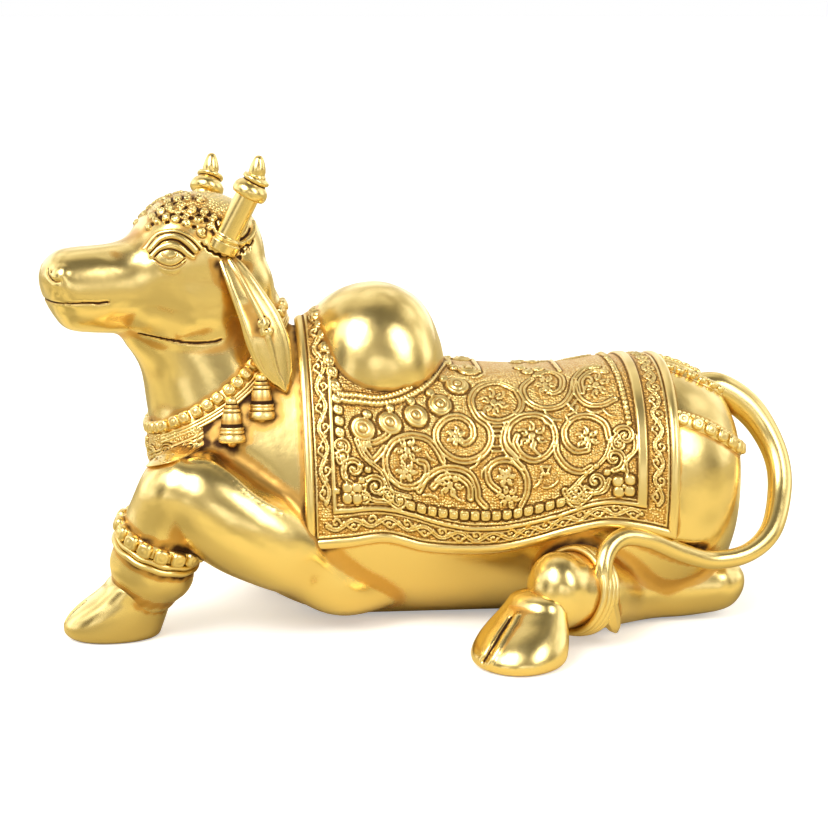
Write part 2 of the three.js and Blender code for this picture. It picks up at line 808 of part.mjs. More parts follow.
// A wave between the border lines, down one edge
function wave(cloth, from, to, waves, across) {
  const places = [];
  for (let i = 0; i <= waves * 2; i++) {
    const t = i / (waves * 2);
    const off = (i % 2 === 0 ? 1 : -1) * bandWidth * 0.2;
    places.push([from[0] + (to[0] - from[0]) * t + (across ? 0 : alongOf(off)),
      from[1] + (to[1] - from[1]) * t + (across ? downOf(off) : 0)]);
  }
  return clothLine(cloth, places, lineWidth);
}

// A spiral tendril round a centre given as along and down
function spiral(cloth, centre, radius, turns, start, handed) {
  const places = [];
  const steps = Math.round(turns * 5);
  for (let i = 0; i <= steps; i++) {
    const t = i / steps;
    const r = radius * share * (1 - 0.72 * t);
    const angle = start + handed * turns * 2 * Math.PI * t;
    places.push([centre[0] + alongOf(r * Math.cos(angle)), centre[1] + downOf(r * Math.sin(angle))]);
  }
  return clothLine(cloth, places, spiralWidth);
}

// A row of beads along a line of the cloth from one along and down to another, bowed by a share
function clothBeads(cloth, from, to, beads, bow = 0) {
  return beadRow((t) => {
    const down = from[1] + (to[1] - from[1]) * t + bow * Math.sin(Math.PI * t);
    return onCloth(cloth, from[0] + (to[0] - from[0]) * t, down);
  }, beads, beadSize, beadHeight);
}

function boss(cloth, along, down) {
  const { point, normal } = onCloth(cloth, along, down);
  return turned(bossProfile, point, normal, 6);
}

// Centres of the spirals on one half: along and down, radius, turns, start angle and handedness
const spirals = [
  [0.35, 0.56, 10, 1.5, 3.4, 1],
  [0.5, 0.36, 10.5, 1.5, 0.4, -1],
  [0.65, 0.26, 9.5, 1.4, 2.6, 1],
  [0.8, 0.3, 9, 1.4, 0.2, -1],
  [0.42, 0.78, 9.5, 1.4, 3.6, -1],
  [0.59, 0.55, 10.5, 1.5, 5.6, 1],
  [0.75, 0.54, 10, 1.4, 2.8, -1],
  [0.59, 0.78, 9.5, 1.4, 0.2, 1],
];

function clothCarving(cloth) {
  const pieces = [humpRope(cloth)];
  const bandMiddle = rimWidth + bandWidth / 2;
  const [a, d] = [alongOf(bandMiddle), 1 - downOf(bandMiddle)];
  for (const half of [-1, 1]) {
    const near = half > 0;
    for (const [along, down, ...rest] of spirals) {
      if (near) pieces.push(spiral(cloth, [along, half * down], ...rest));
      else if (down > 0.7) pieces.push(boss(cloth, along, half * down));
    }
    const discs = near ? 6 : 5;
    for (let i = 0; i < discs; i++) {
      const angle = THREE.MathUtils.degToRad(14 + (135 * i) / (discs - 1));
      pieces.push(hangingDisc(cloth, half * angle, discs));
    }
  }
  pieces.push(wave(cloth, [0.08, d], [0.92, d], 5, true));
  pieces.push(wave(cloth, [a, 0.14], [a, 0.84], 3, false));
  pieces.push(wave(cloth, [1 - a, 0.14], [1 - a, 0.84], 3, false));
  pieces.push(clothBeads(cloth, [0.137, 0.12], [0.137, 0.7], 6));
  pieces.push(clothBeads(cloth, [0.36, 0.8], [0.72, 0.8], 4, 0.06));
  for (const [along, down] of [[0.2, 0.76], [0.83, 0.7]]) pieces.push(boss(cloth, along, down));
  return pieces;
}

// A place round the opening that the hump comes through, at an angle round it, out from its rim
function humpRim(cloth, angle, reach) {
  const x = humpMiddle + (humpOpening[0] + reach / share) * Math.cos(angle);
  const across = (humpOpening[1] + reach / share) * Math.sin(angle);
  const start = drawn(x, -across, 160);
  const ray = new THREE.Raycaster(start, vector(0, 0, -1), 0, 200);
  const hits = ray.intersectObject(cloth, false);
  if (hits.length === 0) {
    return clothPoint(alongOf((x - clothFront[0]) * share), downOf(across * share), clothThickness);
  }
  return { point: hits[0].point, normal: hits[0].face.normal.clone() };
}

function humpRope(cloth) {
  const places = [];
  for (let i = -5; i <= 5; i++) places.push(humpRim(cloth, (i / 5) * 2.35, rimWidth / 6));
  return ridge(places, sharpRidge, rimWidth, rimHeight, carvingRoot * 2);
}

// A disc that hangs from the rope round the hump
function hangingDisc(cloth, angle, sides) {
  const { point, normal } = humpRim(cloth, angle, discRadius * 1.8);
  const profile = [[0, -1], [1, -1], [0.84, 1], [0, 0.5]];
  return turned(profile.map(([r, h]) => [r * discRadius, h * discHeight]), point, normal, sides);
}

// Necklace, pendant plate and bells; the hide under them is found by looking outwards from inside

function seat(hide, from, towards) {
  const ray = new THREE.Raycaster(from, towards.clone().sub(from).normalize(), 0, 400);
  const hits = ray.intersectObject(hide, false);
  return hits.length > 0 ? hits[hits.length - 1].point : towards;
}

function necklace(hide) {
  const inside = drawn(-76, 0, 92);
  const left = new THREE.CatmullRomCurve3(necklacePoints.map((p) => drawn(...p)));
  const loop = [];
  const count = 24;
  for (let i = 0; i < count; i++) {
    const t = i / (count / 2);
    const point = left.getPointAt(t <= 1 ? t : 2 - t);
    if (t > 1) point.y = -point.y;
    loop.push(seat(hide, inside, point));
  }
  const normals = loop.map((point, i) => {
    const along = loop[(i + 1) % count].clone().sub(loop[(i + count - 1) % count]);
    const out = point.clone().sub(inside);
    return out.addScaledVector(along, -out.dot(along) / along.lengthSq()).normalize();
  });
  const places = loop.map((point, i) => ({ point, normal: normals[i], rise: i % 2 === 0 ? 0.5 : 1 }));
  return ridge(places, necklaceShape, necklaceWidth, necklaceHeight, 3, true);
}

// The plate on the chest, under the necklace
function pendant(hide) {
  const drop = (across) => 60.5 + 10 * Math.abs(across) ** 1.5;
  const geometry = new THREE.BoxGeometry(2, 1, 1, 5, 1, 1);
  const points = geometry.attributes.position;
  for (let i = 0; i < points.count; i++) {
    const across = points.getX(i);
    const level = drop(across) + (75 + 3 * across * across - drop(across)) * (points.getY(i) + 0.5);
    const angle = across * 1.15;
    const aim = drawn(-80 - 40 * Math.cos(angle), 40 * Math.sin(angle), level);
    const from = drawn(-80, 0, level);
    const hit = seat(hide, from, aim);
    hit.addScaledVector(aim.clone().sub(from).normalize(), points.getZ(i) > 0 ? plateThickness : -plateRoot);
    points.setXYZ(i, hit.x, hit.y, hit.z);
  }
  const plate = toSolid(geometry);
  const pieces = [plate];
  for (const across of [-0.45, 0.45]) {
    const angle = across * 1.15;
    const level = drop(across) + 7.2;
    const from = drawn(-80, 0, level);
    const aim = drawn(-80 - 40 * Math.cos(angle), 40 * Math.sin(angle), level);
    const outward = aim.clone().sub(from).normalize();
    const at = seat(hide, from, aim).addScaledVector(outward, plateThickness * 0.67);
    pieces.push(turned(bossProfile, at, outward, 6));
  }
  return pieces;
}

// A bell that hangs from the necklace against the shoulder
function bell(hide, x, level, handed) {
  const from = drawn(x, 0, level - bellLength / 2 / share);
  const at = seat(hide, from, from.clone().add(vector(0, handed * 60, 0)));
  const foot = at.clone().add(vector(0, handed * bellRadius * 0.55, -bellLength * 0.42));
  const lip = [[0, 0], [0.66, 0], [1, 0.14], [0.94, 0.34]];
  const loop = [[0.5, 0.76], [0.6, 0.84], [0.4, 1.05], [0, 1.05]];
  const profile = [...lip, ...loop].map(([r, h]) => [r * bellRadius, h * bellLength]);
  return turned(profile, foot, vector(0, -handed * 0.12, 1), 6);
}

// The straps that hold the cloth's rear under the tail
function crupper(hide) {
  const pieces = [];
  const upper = [[99, 9, 101], [108, 13, 99], [116, 14, 95], [122, 10, 90]];
  const lower = [[97, 36, 84], [107, 36, 81], [116, 34, 76.5], [123, 28, 71], [127, 20, 68]];
  for (const handed of [-1, 1]) {
    for (const [points, beads] of [[upper, 3], [lower, 5]]) {
      const path = new THREE.CatmullRomCurve3(points.map(([x, y, z]) => drawn(x, handed * y, z)));
      const placeAt = (t) => {
        const aim = path.getPointAt(t);
        const from = vector(Math.min(aim.x, 104 * share), 0, 62 * share);
        const point = seat(hide, from, aim);
        return { point, normal: point.clone().sub(from).normalize() };
      };
      const near = handed < 0;
      const steps = near ? beads * 2 : 3;
      const places = [];
      for (let i = 0; i <= steps; i++) {
        places.push({ ...placeAt(i / steps), rise: near && i % 2 === 0 ? 0.4 : 1 });
      }
      pieces.push(ridge(places, broadRidge, strapWidth, strapHeight, 2));
    }
  }
  return pieces;
}

// The whole figure

const hoofs = [
  hoof([-118.5, -26, 0, 20.5, 14.5], [-109.5, -28.5, 21, 16, 13], Math.PI + 0.12, 10),
  hoof([33.5, -72.5, 0, 19, 17.4], [42, -61, 28, 13, 13], Math.PI + 0.75, 10),
  hoof([-14, 51, 0, 13, 9], [-25, 51, 13, 8, 8], 0.05, 7),
  hoof([37, 50, 0, 15, 12], [49, 49, 16, 11, 10.5], Math.PI - 0.05, 7),
];
const fetlock = toSolid(new THREE.SphereGeometry(1, 8, 4).scale(12.5 * share, 13 * share, 15.4 * share)
  .translate(49.5 * share, -59.5 * share, 23.6 * share));
const hideSolid = join([
  trunk(), hump(), neck(), skull(),
  limb(nearShank, 9, 7), limb(nearForearm, 9, 6), limb(farForearm, 7, 3), limb(farShank, 6, 2),
  limb(nearCannon, 9, 6), limb(farCannon, 7, 4), fetlock, ...hoofs,
]);

function toGeometry(solid) {
  const mesh = solid.getMesh();
  const positions = [];
  for (let i = 0; i < mesh.vertProperties.length; i += mesh.numProp) {
    positions.push(...mesh.vertProperties.slice(i, i + 3));
  }
  const geometry = new THREE.BufferGeometry();
  geometry.setAttribute('position', new THREE.BufferAttribute(new Float32Array(positions), 3));
  geometry.setIndex(Array.from(mesh.triVerts));
  geometry.computeVertexNormals();
  return geometry;
}

const brass = new THREE.MeshStandardMaterial({ color: 0xd2a24a, roughness: 0.28, metalness: 1 });
const hide = new THREE.Mesh(toGeometry(hideSolid), new THREE.MeshBasicMaterial({ side: THREE.DoubleSide }));

const bells = [];
for (const handed of [-1, 1]) {
  bells.push(bell(hide, -66, 97, handed));
  bells.push(bell(hide, -75, 89, handed));
}

const clothSolid = clothSlab();
const cloth = new THREE.Mesh(toGeometry(clothSolid), new THREE.MeshBasicMaterial());

let figure = join([
  hideSolid,
  clothSolid, ...clothCarving(cloth),
  necklace(hide), ...pendant(hide), ...bells, ...crupper(hide),
  limb(tailPath, 6, 15),
  ...horn(-1), ...horn(1), ear(-1), ear(1), ...curls(), ...eye(-1), ...eye(1),
  ...anklet(nearShank, 3.4, 2, 7), ...anklet(nearCannon, 5.7, 2, 0), ...anklet(farCannon, 4.4, 1, 0),
]);
figure = figure.subtract(mouthGroove());
for (const groove of nostrils()) figure = figure.subtract(groove);
const ground = new THREE.BoxGeometry(figureLength * 2, figureLength * 2, figureLength / 4);
figure = figure.subtract(toSolid(ground.translate(0, 0, solePlane - figureLength / 8)));

const geometry = toGeometry(figure);
geometry.computeBoundingBox();
const middle = geometry.boundingBox.getCenter(vector(0, 0, 0));

const nandiBull = new THREE.Mesh(geometry, brass);
nandiBull.name = 'nandi_bull';
nandiBull.position.set(-middle.x, -middle.y, -solePlane);

const group = new THREE.Group();
group.add(nandiBull);

export default group;
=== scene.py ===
"""Nandi bull figure: a reclining bull cast in brass, finished as a polished and antiqued casting.

All measures are millimetres in the figure's own drawing: +X towards the tail, -Y towards the bull's
left, +Z up. The frame says where the drawing stands.
"""

import json
import math
from types import SimpleNamespace

import bpy
import numpy as np
from mathutils import Matrix, Vector
from mathutils.bvhtree import BVHTree
from mathutils.kdtree import KDTree

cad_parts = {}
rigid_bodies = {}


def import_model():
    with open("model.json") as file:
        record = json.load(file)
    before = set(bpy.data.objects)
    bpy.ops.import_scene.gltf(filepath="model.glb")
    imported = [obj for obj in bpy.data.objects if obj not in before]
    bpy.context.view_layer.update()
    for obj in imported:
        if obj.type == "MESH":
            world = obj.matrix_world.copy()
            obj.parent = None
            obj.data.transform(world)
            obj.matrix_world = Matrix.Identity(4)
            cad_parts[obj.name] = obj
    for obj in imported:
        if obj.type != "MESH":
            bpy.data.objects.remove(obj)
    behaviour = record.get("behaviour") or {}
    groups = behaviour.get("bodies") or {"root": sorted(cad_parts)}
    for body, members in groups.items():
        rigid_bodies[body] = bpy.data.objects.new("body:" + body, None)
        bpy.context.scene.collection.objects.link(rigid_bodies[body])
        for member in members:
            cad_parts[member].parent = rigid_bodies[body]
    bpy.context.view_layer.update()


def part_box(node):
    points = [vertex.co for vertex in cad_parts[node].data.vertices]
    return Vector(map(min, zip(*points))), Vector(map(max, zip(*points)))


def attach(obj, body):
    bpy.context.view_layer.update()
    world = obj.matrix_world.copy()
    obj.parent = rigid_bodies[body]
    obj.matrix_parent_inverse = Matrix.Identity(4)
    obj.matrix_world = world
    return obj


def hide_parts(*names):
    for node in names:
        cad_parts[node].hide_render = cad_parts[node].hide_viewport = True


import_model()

bl_info = {
    "name": "Nandi Bull Figure",
    "version": (1, 0, 0),
    "blender": (4, 5, 0),
    "location": "3D View > Sidebar > Nandi",
    "description": "Models a reclining bull cast in brass, with its carved saddle cloth and ornaments",
    "category": "Add Mesh",
}

MM = 0.001
TURN = 2 * math.pi
NODE = "nandi_bull"
DRAWN_LOW = np.array([-144.17, -90.76, 0.0])  # lowest corner of the solid in the drawing
SHIFT = np.array(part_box(NODE)[0]) / MM - DRAWN_LOW

# Camera of the photograph: angles in degrees, distance and target in the drawing
PHOTO_AZIMUTH = -5.0
PHOTO_ELEVATION = 12.0
PHOTO_DISTANCE = 750.0
PHOTO_TARGET = np.array([0.0, 0.0, 80.0])
PHOTO_SIZE = 828
PHOTO_SCALE = 0.4  # millimetres a pixel at the target

# The trunk: x, lowest, widest and highest z, half width, roundness above and below
TRUNK = [
    (-103.8, 66, 74, 80, 8, 2, 2),
    (-102.4, 55, 74, 98, 17, 2, 2.1),
    (-98, 44, 71, 109, 25, 2, 2.1),
    (-89, 32, 66, 114, 32, 1.9, 2.1),
    (-75, 21, 60, 116, 38, 1.8, 2),
    (-60, 11, 55, 115, 42, 1.7, 1.95),
    (-47, 4, 53, 116.5, 44.5, 1.6, 1.9),
    (-37, 1, 52, 122.3, 46, 1.5, 1.85),
    (-27, -0.7, 52, 115, 46.5, 1.7, 1.85),
    (-14, -0.8, 51, 104, 46.5, 2.1, 1.85),
    (12, -0.8, 50, 99.4, 46, 2.3, 1.85),
    (42, -0.8, 50, 97.4, 46, 2.3, 1.85),
    (60, -0.8, 50, 97.6, 47, 2.3, 1.9),
    (76, -0.5, 51, 99.8, 48.5, 2.3, 2),
    (95, 1.5, 52, 100.2, 48, 2.3, 2.1),
    (109, 6, 53, 97, 44.5, 2.3, 2.2),
    (120, 13, 54, 91.5, 37.5, 2.2, 2.2),
    (127, 25, 55, 81, 27, 2.1, 2.2),
    (130, 40, 57, 71, 13, 2, 2),
]
TRUNK_ENDS = ((-104.6, 0, 74), (131, 0, 57))
# The hump: x, widest and highest z, half width
HUMP = [
    (-44, 98, 118, 8),
    (-36.5, 98, 126.3, 22),
    (-26, 98, 132, 29.5),
    (-13, 98, 133.6, 30.5),
    (-1, 98, 128.8, 27),
    (6, 98, 121, 20.5),
    (10.8, 98, 109, 9.5),
]
HUMP_ENDS = ((-47, 0, 108), (12.2, 0, 101))
HUMP_DEPTH = 12  # how far it goes on below its widest level
HUMP_ROUNDNESS = 2.1
# The neck: x, y, z, half length along x, half width
NECK = [
    (-70, 0, 62, 32, 30),
    (-74, 0, 84, 31.5, 31),
    (-79, -1, 102, 29, 26),
    (-81.8, -2, 114, 32.2, 22),
    (-79.5, -3, 126, 27.6, 20),
    (-80, -4, 142, 20.2, 18.5),
    (-78, -4, 152, 15.5, 16),
]
NECK_ENDS = ((-70, 0, 55), (-78, -4, 158))
NECK_ROUNDNESS = 2.2
# The head, forward of the pivot: distance, lowest and highest z, half width, roundness
HEAD_YAW = math.radians(20)
HEAD_PIVOT = (-72.0, 0.0)
HEAD = [
    (-11, 136, 154, 10, 2),
    (-7.5, 125, 161, 16, 2.2),
    (-1, 117, 166.8, 20, 2.3),
    (8, 113.6, 169.8, 21.5, 2.3),
    (18, 113, 169.6, 21.5, 2.4),
    (27, 113.6, 166.8, 20.5, 2.4),
    (34, 115, 161, 19, 2.4),
    (38.5, 116, 155, 17.5, 2.4),
    (46, 117.2, 151.8, 16, 2.4),
    (64, 119.4, 150.8, 15, 2.2),
    (69.2, 124, 149.2, 14, 2.2),
    (72.8, 131, 145.6, 11, 2.1),
    (74.3, 136, 142.6, 6, 2),
]
HEAD_ENDS = ((-12.4, 0, 145), (75.2, 0, 139.6))
# The cheeks, which fill the head out: rows as the head's
JOWL = [
    (-14, 124, 138, 12, 3),
    (-10, 116, 146, 18, 3),
    (-4, 112.8, 150, 20.6, 3),
    (6, 112.2, 152, 21.6, 3),
    (16, 112.6, 152, 21.7, 2.8),
    (26, 113.4, 150, 20.8, 2.6),
    (32, 116, 146, 18, 2.5),
]
JOWL_ENDS = ((-15.4, 0, 131), (33.4, 0, 131))
# The corner of the throat: centre and radii
THROAT = ((-102.0, -9.5, 115), (12.5, 13, 10))
# Limbs: centre x, y, z and radius
NEAR_SHANK = [
    (-108, -28, 14, 12),
    (-107, -29, 19.5, 13.2),
    (-104.6, -30, 26, 16.8),
    (-103, -31.5, 33, 16),
    (-100.4, -33, 40, 16.2),
    (-97.5, -35, 49, 15.2),
    (-91, -37, 59, 17),
    (-84, -37, 64, 15),
]
NEAR_FOREARM = [
    (-98, -38, 66.5, 9),
    (-88.5, -38, 60.5, 17),
    (-72, -38, 48.6, 19.8),
    (-56, -36, 38.5, 18.6),
    (-44, -31.4, 29.6, 15.9),
    (-31, -28.4, 20, 13.8),
    (-14, -20, 19, 12.5),
]
FAR_FOREARM = [(-68, 27, 17, 9), (-58, 30, 18, 16), (-40, 34, 20, 18), (-22, 34, 22, 16)]
FAR_SHANK = [(-62, 36, 10, 8), (-50, 44, 10.5, 10.5), (-36, 49, 10, 9), (-26, 51, 10, 9.5)]
NEAR_CANNON = [
    (129, -24, 16.4, 6),
    (122, -23, 14.6, 11.4),
    (107, -23, 12.6, 12),
    (92, -25, 12.4, 11.9),
    (79, -33, 13.8, 12.4),
    (68, -43, 17.6, 14.6),
    (60, -50.5, 20.6, 15.6),
    (52, -57, 23, 14),
]
FAR_CANNON = [
    (127, 30, 17, 5),
    (121, 31, 14.5, 10.5),
    (106, 36, 12.5, 12),
    (88, 43, 12, 11.5),
    (72, 47, 12, 11),
    (58, 49, 13, 12.5),
    (50, 49, 13, 11),
]
LIMBS = {
    "near_shank": NEAR_SHANK, "near_forearm": NEAR_FOREARM, "far_forearm": FAR_FOREARM,
    "far_shank": FAR_SHANK, "near_cannon": NEAR_CANNON, "far_cannon": FAR_CANNON,
}
# The tail: rows as the limbs', from the rump to the end of the tuft
TAIL = [
    (112, 0, 88, 6.4),
    (123, 0, 88.4, 6.4),
    (134, -1, 81.8, 6.3),
    (141.6, -4, 72.4, 5.5),
    (146, -10, 61, 5),
    (145.4, -18, 49.5, 4.8),
    (139, -30, 36.8, 4.3),
    (127.5, -38, 30, 3.7),
    (113, -41.5, 28.6, 3.7),
    (100, -45.5, 33, 3.7),
    (86, -49.5, 39.8, 3.7),
    (75.5, -52.5, 41.8, 3.7),
    (68.5, -57, 38, 3.7),
    (66, -61, 30, 3.7),
    (67.5, -61, 19, 4.6),
    (71, -57, 9.5, 3.2),
    (73, -54, 4.8, 0.9),
]
TUFT_START = 12.4  # place in the tail's rows where the tuft begins
# Ears: forward of the pivot, sideways, z and half width
EAR = [
    (8.6, 18.4, 147.6, 3.4),
    (6.4, 22.4, 142.4, 5.2),
    (2.6, 27, 133, 7),
    (-1.2, 30, 123.5, 8.4),
    (-3.6, 31.5, 114.5, 8.8),
    (-6, 32.5, 104, 6.6),
    (-9, 33.2, 96.4, 1.6),
]
EAR_ENDS = ((10, 15, 148), (-10.2, 33.4, 94.2))
# Hooves: sole and coronet, each x, y, z, front and half width; way of the toe in radians
HOOVES = {
    "front_left": ((-118.5, -26, 0, 20.5, 14.5), (-109.5, -28.5, 21, 16, 13), math.pi + 0.12),
    "hind_left": ((33.5, -72.5, 0, 19, 17.4), (40.5, -64, 20.5, 11.5, 11.5), math.pi + 0.75),
    "front_right": ((-14, 51, 0, 13, 9), (-25, 51, 13, 8, 8), 0.05),
    "hind_right": ((37, 49.6, 0, 15, 11.2), (49, 49, 16, 11, 10.5), math.pi - 0.05),
}
# The bump of the left hock: centre and radii
FETLOCK = ((49.5, -59.5, 23.6), (12.5, 13, 15.4))

# The saddle cloth's lower edge: x and z
HEM = [
    (-45, 38.2), (-31, 39.2), (-16, 41), (-1, 37), (13, 35.4), (28, 35.4),
    (42, 38), (57, 42.2), (72, 45), (86, 43.2), (98, 40),
]
CLOTH_FRONT = (-46.8, -44.6)  # x on the spine and at the hem
CLOTH_REAR = (99.4, 96.6)
CLOTH_WIDTH = CLOTH_REAR[0] - CLOTH_FRONT[0]
CLOTH_DROP = 92.0  # from the spine to the hem, round the body
# The necklace on the bull's left half
NECKLACE = [
    (-106, 0, 75.5),
    (-103.5, -14, 77.5),
    (-95, -24, 82),
    (-82, -31, 88.5),
    (-70, -32, 96.5),
    (-61, -28, 105),
    (-55, -19, 115),
    (-52, -9, 122),
    (-51, 0, 124),
]


# Curves and sections

CURVE_DETAIL = 8  # dense steps for each even step of a curve
TABLE_DETAIL = 3000  # steps through a table that is read at x
TUBE_CAP = 0.45  # how far a limb's end stands out, in shares of its radius


def column(value):
    return np.asarray(value, float).reshape(-1, 1)


def unit(vectors):
    return vectors / np.maximum(np.linalg.norm(vectors, axis=-1, keepdims=True), 1e-9)


def place(points):
    """Points of the drawing in the frame, in metres."""
    return (np.asarray(points, float) + SHIFT) * MM


def smooth(rows, places):
    """Rows of a table read along a smooth curve, at places counted in rows."""
    rows = np.asarray(rows, float)
    places = np.asarray(places, float)
    last = len(rows) - 1
    index = np.clip(np.floor(places).astype(int), 0, last - 1)
    t = (places - index)[..., None]
    a, b = rows[index], rows[index + 1]
    before = np.where((index > 0)[..., None], rows[np.maximum(index - 1, 0)], 2 * a - b)
    after = np.where((index < last - 1)[..., None], rows[np.minimum(index + 2, last)], 2 * b - a)
    rise, fall = (b - before) / 2, (after - a) / 2
    return a + t * (rise + t * (3 * (b - a) - 2 * rise - fall + t * (2 * (a - b) + rise + fall)))


def curve(points, count):
    """A smooth line of so many points, evenly spaced, through a few."""
    dense = smooth(points, np.linspace(0, len(points) - 1, count * CURVE_DETAIL))
    run = np.concatenate([[0], np.cumsum(np.linalg.norm(np.diff(dense, axis=0), axis=1))])
    even = np.linspace(0, run[-1], count)
    return np.stack([np.interp(even, run, axis) for axis in dense.T], -1)


def read_at(rows, x):
    """A table whose first column grows, read where that column is x."""
    table = smooth(rows, np.linspace(0, len(rows) - 1, TABLE_DETAIL))
    return np.stack([np.interp(x, table[:, 0], values) for values in table.T], -1)


def power(value, roundness):
    """The share of a half width that an oval of this roundness reaches; 2 is an ellipse."""
    return np.sign(value) * np.abs(value) ** (2 / roundness)


def rings(centre, side, up, half, above, below, round_above=2.0, round_below=2.0, sides=48):
    """Rings of points round sections, each an oval whose top is its first point."""
    angle = np.linspace(0, TURN, sides, endpoint=False)[None]
    rise, across = np.cos(angle), np.sin(angle)
    roundness = np.where(rise >= 0, column(round_above), column(round_below))
    height = np.where(rise >= 0, column(above), column(below)) * power(rise, roundness)
    width = column(half) * power(across, roundness)
    return centre[:, None] + side[:, None] * width[..., None] + up[:, None] * height[..., None]


def path_frames(centres):
    """Unit vectors forward, sideways and up along a path, turned as little as can be."""
    forward = unit(np.gradient(centres, axis=0))
    side = np.zeros_like(forward)
    last = np.cross((0, 0, 1), forward[0])
    if np.linalg.norm(last) < 0.3:
        last = np.cross((0, 1, 0), forward[0])
    for i, ahead in enumerate(forward):
        last = last - ahead * (last @ ahead)
        last = last / np.linalg.norm(last)
        side[i] = last
    return forward, side, np.cross(forward, side)


def tube(rows, steps, sides):
    """Rings of a round limb through rows of centre and radius, with its two end points."""
    table = smooth(rows, np.linspace(0, len(rows) - 1, steps))
    centre, radius = table[:, :3], table[:, 3]
    forward, side, up = path_frames(centre)
    loops = rings(centre, side, up, radius, radius, radius, sides=sides)
    first = centre[0] - forward[0] * radius[0] * TUBE_CAP
    last = centre[-1] + forward[-1] * radius[-1] * TUBE_CAP
    return first, loops, last


def head_point(forward, sideways, up):
    """A point of the head: forward of the pivot, sideways (minus is the bull's left) and up."""
    forward, sideways, up = np.broadcast_arrays(np.asarray(forward, float), sideways, up)
    return np.stack([
        HEAD_PIVOT[0] - forward * math.cos(HEAD_YAW) - sideways * math.sin(HEAD_YAW),
        HEAD_PIVOT[1] - forward * math.sin(HEAD_YAW) + sideways * math.cos(HEAD_YAW),
        up,
    ], -1)


HEAD_AHEAD = np.array([-math.cos(HEAD_YAW), -math.sin(HEAD_YAW), 0.0])
HEAD_SIDE = np.array([-math.sin(HEAD_YAW), math.cos(HEAD_YAW), 0.0])


def mirror_head(points):
    """The same places on the other side of the head."""
    away = (points - np.array([HEAD_PIVOT[0], HEAD_PIVOT[1], 0])) @ HEAD_SIDE
    return points - 2 * away[:, None] * HEAD_SIDE


# The photograph's camera, which places carved lines on what carries them


def camera_axes():
    """The camera's place in the drawing, and its ways right, up and back."""
    azimuth, elevation = math.radians(PHOTO_AZIMUTH), math.radians(PHOTO_ELEVATION)
    back = np.array([
        math.sin(azimuth) * math.cos(elevation),
        -math.cos(azimuth) * math.cos(elevation),
        math.sin(elevation),
    ])
    right = np.array([math.cos(azimuth), math.sin(azimuth), 0.0])
    return PHOTO_TARGET + back * PHOTO_DISTANCE, right, np.cross(back, right), back


def surface_of(piece):
    """A search tree over a piece, which works in metres of the frame."""
    return BVHTree.FromObject(piece, bpy.context.evaluated_depsgraph_get())


def photo_rays(pixels):
    """The camera's place in the frame, and the way from it to each pixel of the photograph."""
    eye, right, up, back = camera_axes()
    lens = PHOTO_DISTANCE / PHOTO_SCALE
    middle = PHOTO_SIZE / 2
    ways = [(x - middle) / lens * right + (middle - y) / lens * up - back for x, y in pixels]
    return Vector(place(eye)), [Vector(way) for way in ways]


def at_pixels(surface, pixels):
    """The places of a surface, in the drawing, that the photograph shows at these pixels."""
    eye, ways = photo_rays(pixels)
    hits = [surface.ray_cast(eye, way)[0] for way in ways]
    return np.array([np.array(hit) / MM - SHIFT for hit in hits if hit is not None])


def seat(surface, points):
    """Each point moved to the nearest place of a surface."""
    found = [surface.find_nearest(Vector(place(point)))[0] for point in points]
    return np.array([np.array(spot) / MM - SHIFT for spot in found])


def cast_out(surfaces, starts, aims, most=400):
    """The outermost place of some surfaces on the way from a start to each aim."""
    found = []
    for start, aim in zip(np.broadcast_to(starts, np.shape(aims)), aims):
        way = unit(np.asarray(aim, float) - start)
        reach = start + way * most
        gaps = []
        for surface in surfaces:
            hit = surface.ray_cast(Vector(place(reach)), Vector(-way))
            if hit[0] is not None:
                gaps.append(hit[3])
        found.append(reach - way * min(gaps) / MM if gaps else aim)
    return np.array(found)


def soft_loop(points, passes):
    """A line or a grid of points, drawn smoother between its ends along its first way."""
    for _ in range(passes):
        points[1:-1] = (points[:-2] + 2 * points[1:-1] + points[2:]) / 4
    return points


def soft_round(values, passes):
    """Points or values round a closed line, drawn smoother."""
    for _ in range(passes):
        values = (np.roll(values, 1, 0) + 2 * values + np.roll(values, -1, 0)) / 4
    return values


def skin_of_bull():
    """Search trees over the hide and the head."""
    return [surface_of(bpy.data.objects[name]) for name in ("hide", "head")]


# Meshes

WELD_METRES = 1e-6


def deselect():
    if bpy.context.object and bpy.context.object.mode != "OBJECT":
        bpy.ops.object.mode_set(mode="OBJECT")
    bpy.ops.object.select_all(action="DESELECT")


def choose(*pieces):
    deselect()
    for piece in pieces:
        piece.select_set(True)
    bpy.context.view_layer.objects.active = pieces[0]


def weld(piece):
    choose(piece)
    bpy.ops.object.mode_set(mode="EDIT")
    bpy.ops.mesh.select_all(action="SELECT")
    bpy.ops.mesh.remove_doubles(threshold=WELD_METRES)
    bpy.ops.mesh.normals_make_consistent(inside=False)
    bpy.ops.object.mode_set(mode="OBJECT")


def sheet(name, points):
    """A grid whose corners are moved to rows of points of the drawing."""
    rows, columns = points.shape[:2]
    deselect()
    bpy.ops.mesh.primitive_grid_add(
        x_subdivisions=columns - 1, y_subdivisions=rows - 1, size=1, calc_uvs=False)
    piece = bpy.context.object
    piece.name = piece.data.name = name
    piece.data.vertices.foreach_set("co", place(points).ravel())
    piece.data.update()
    return piece


def skin(name, first, loops, last):
    """A closed skin through rings, which ends in a point at both ends."""
    count = loops.shape[1]
    start, end = (np.repeat(np.asarray(point, float)[None], count, 0) for point in (first, last))
    rows = np.array([start, *loops, end])
    piece = sheet(name, np.concatenate([rows, rows[:, :1]], 1))
    weld(piece)
    return piece


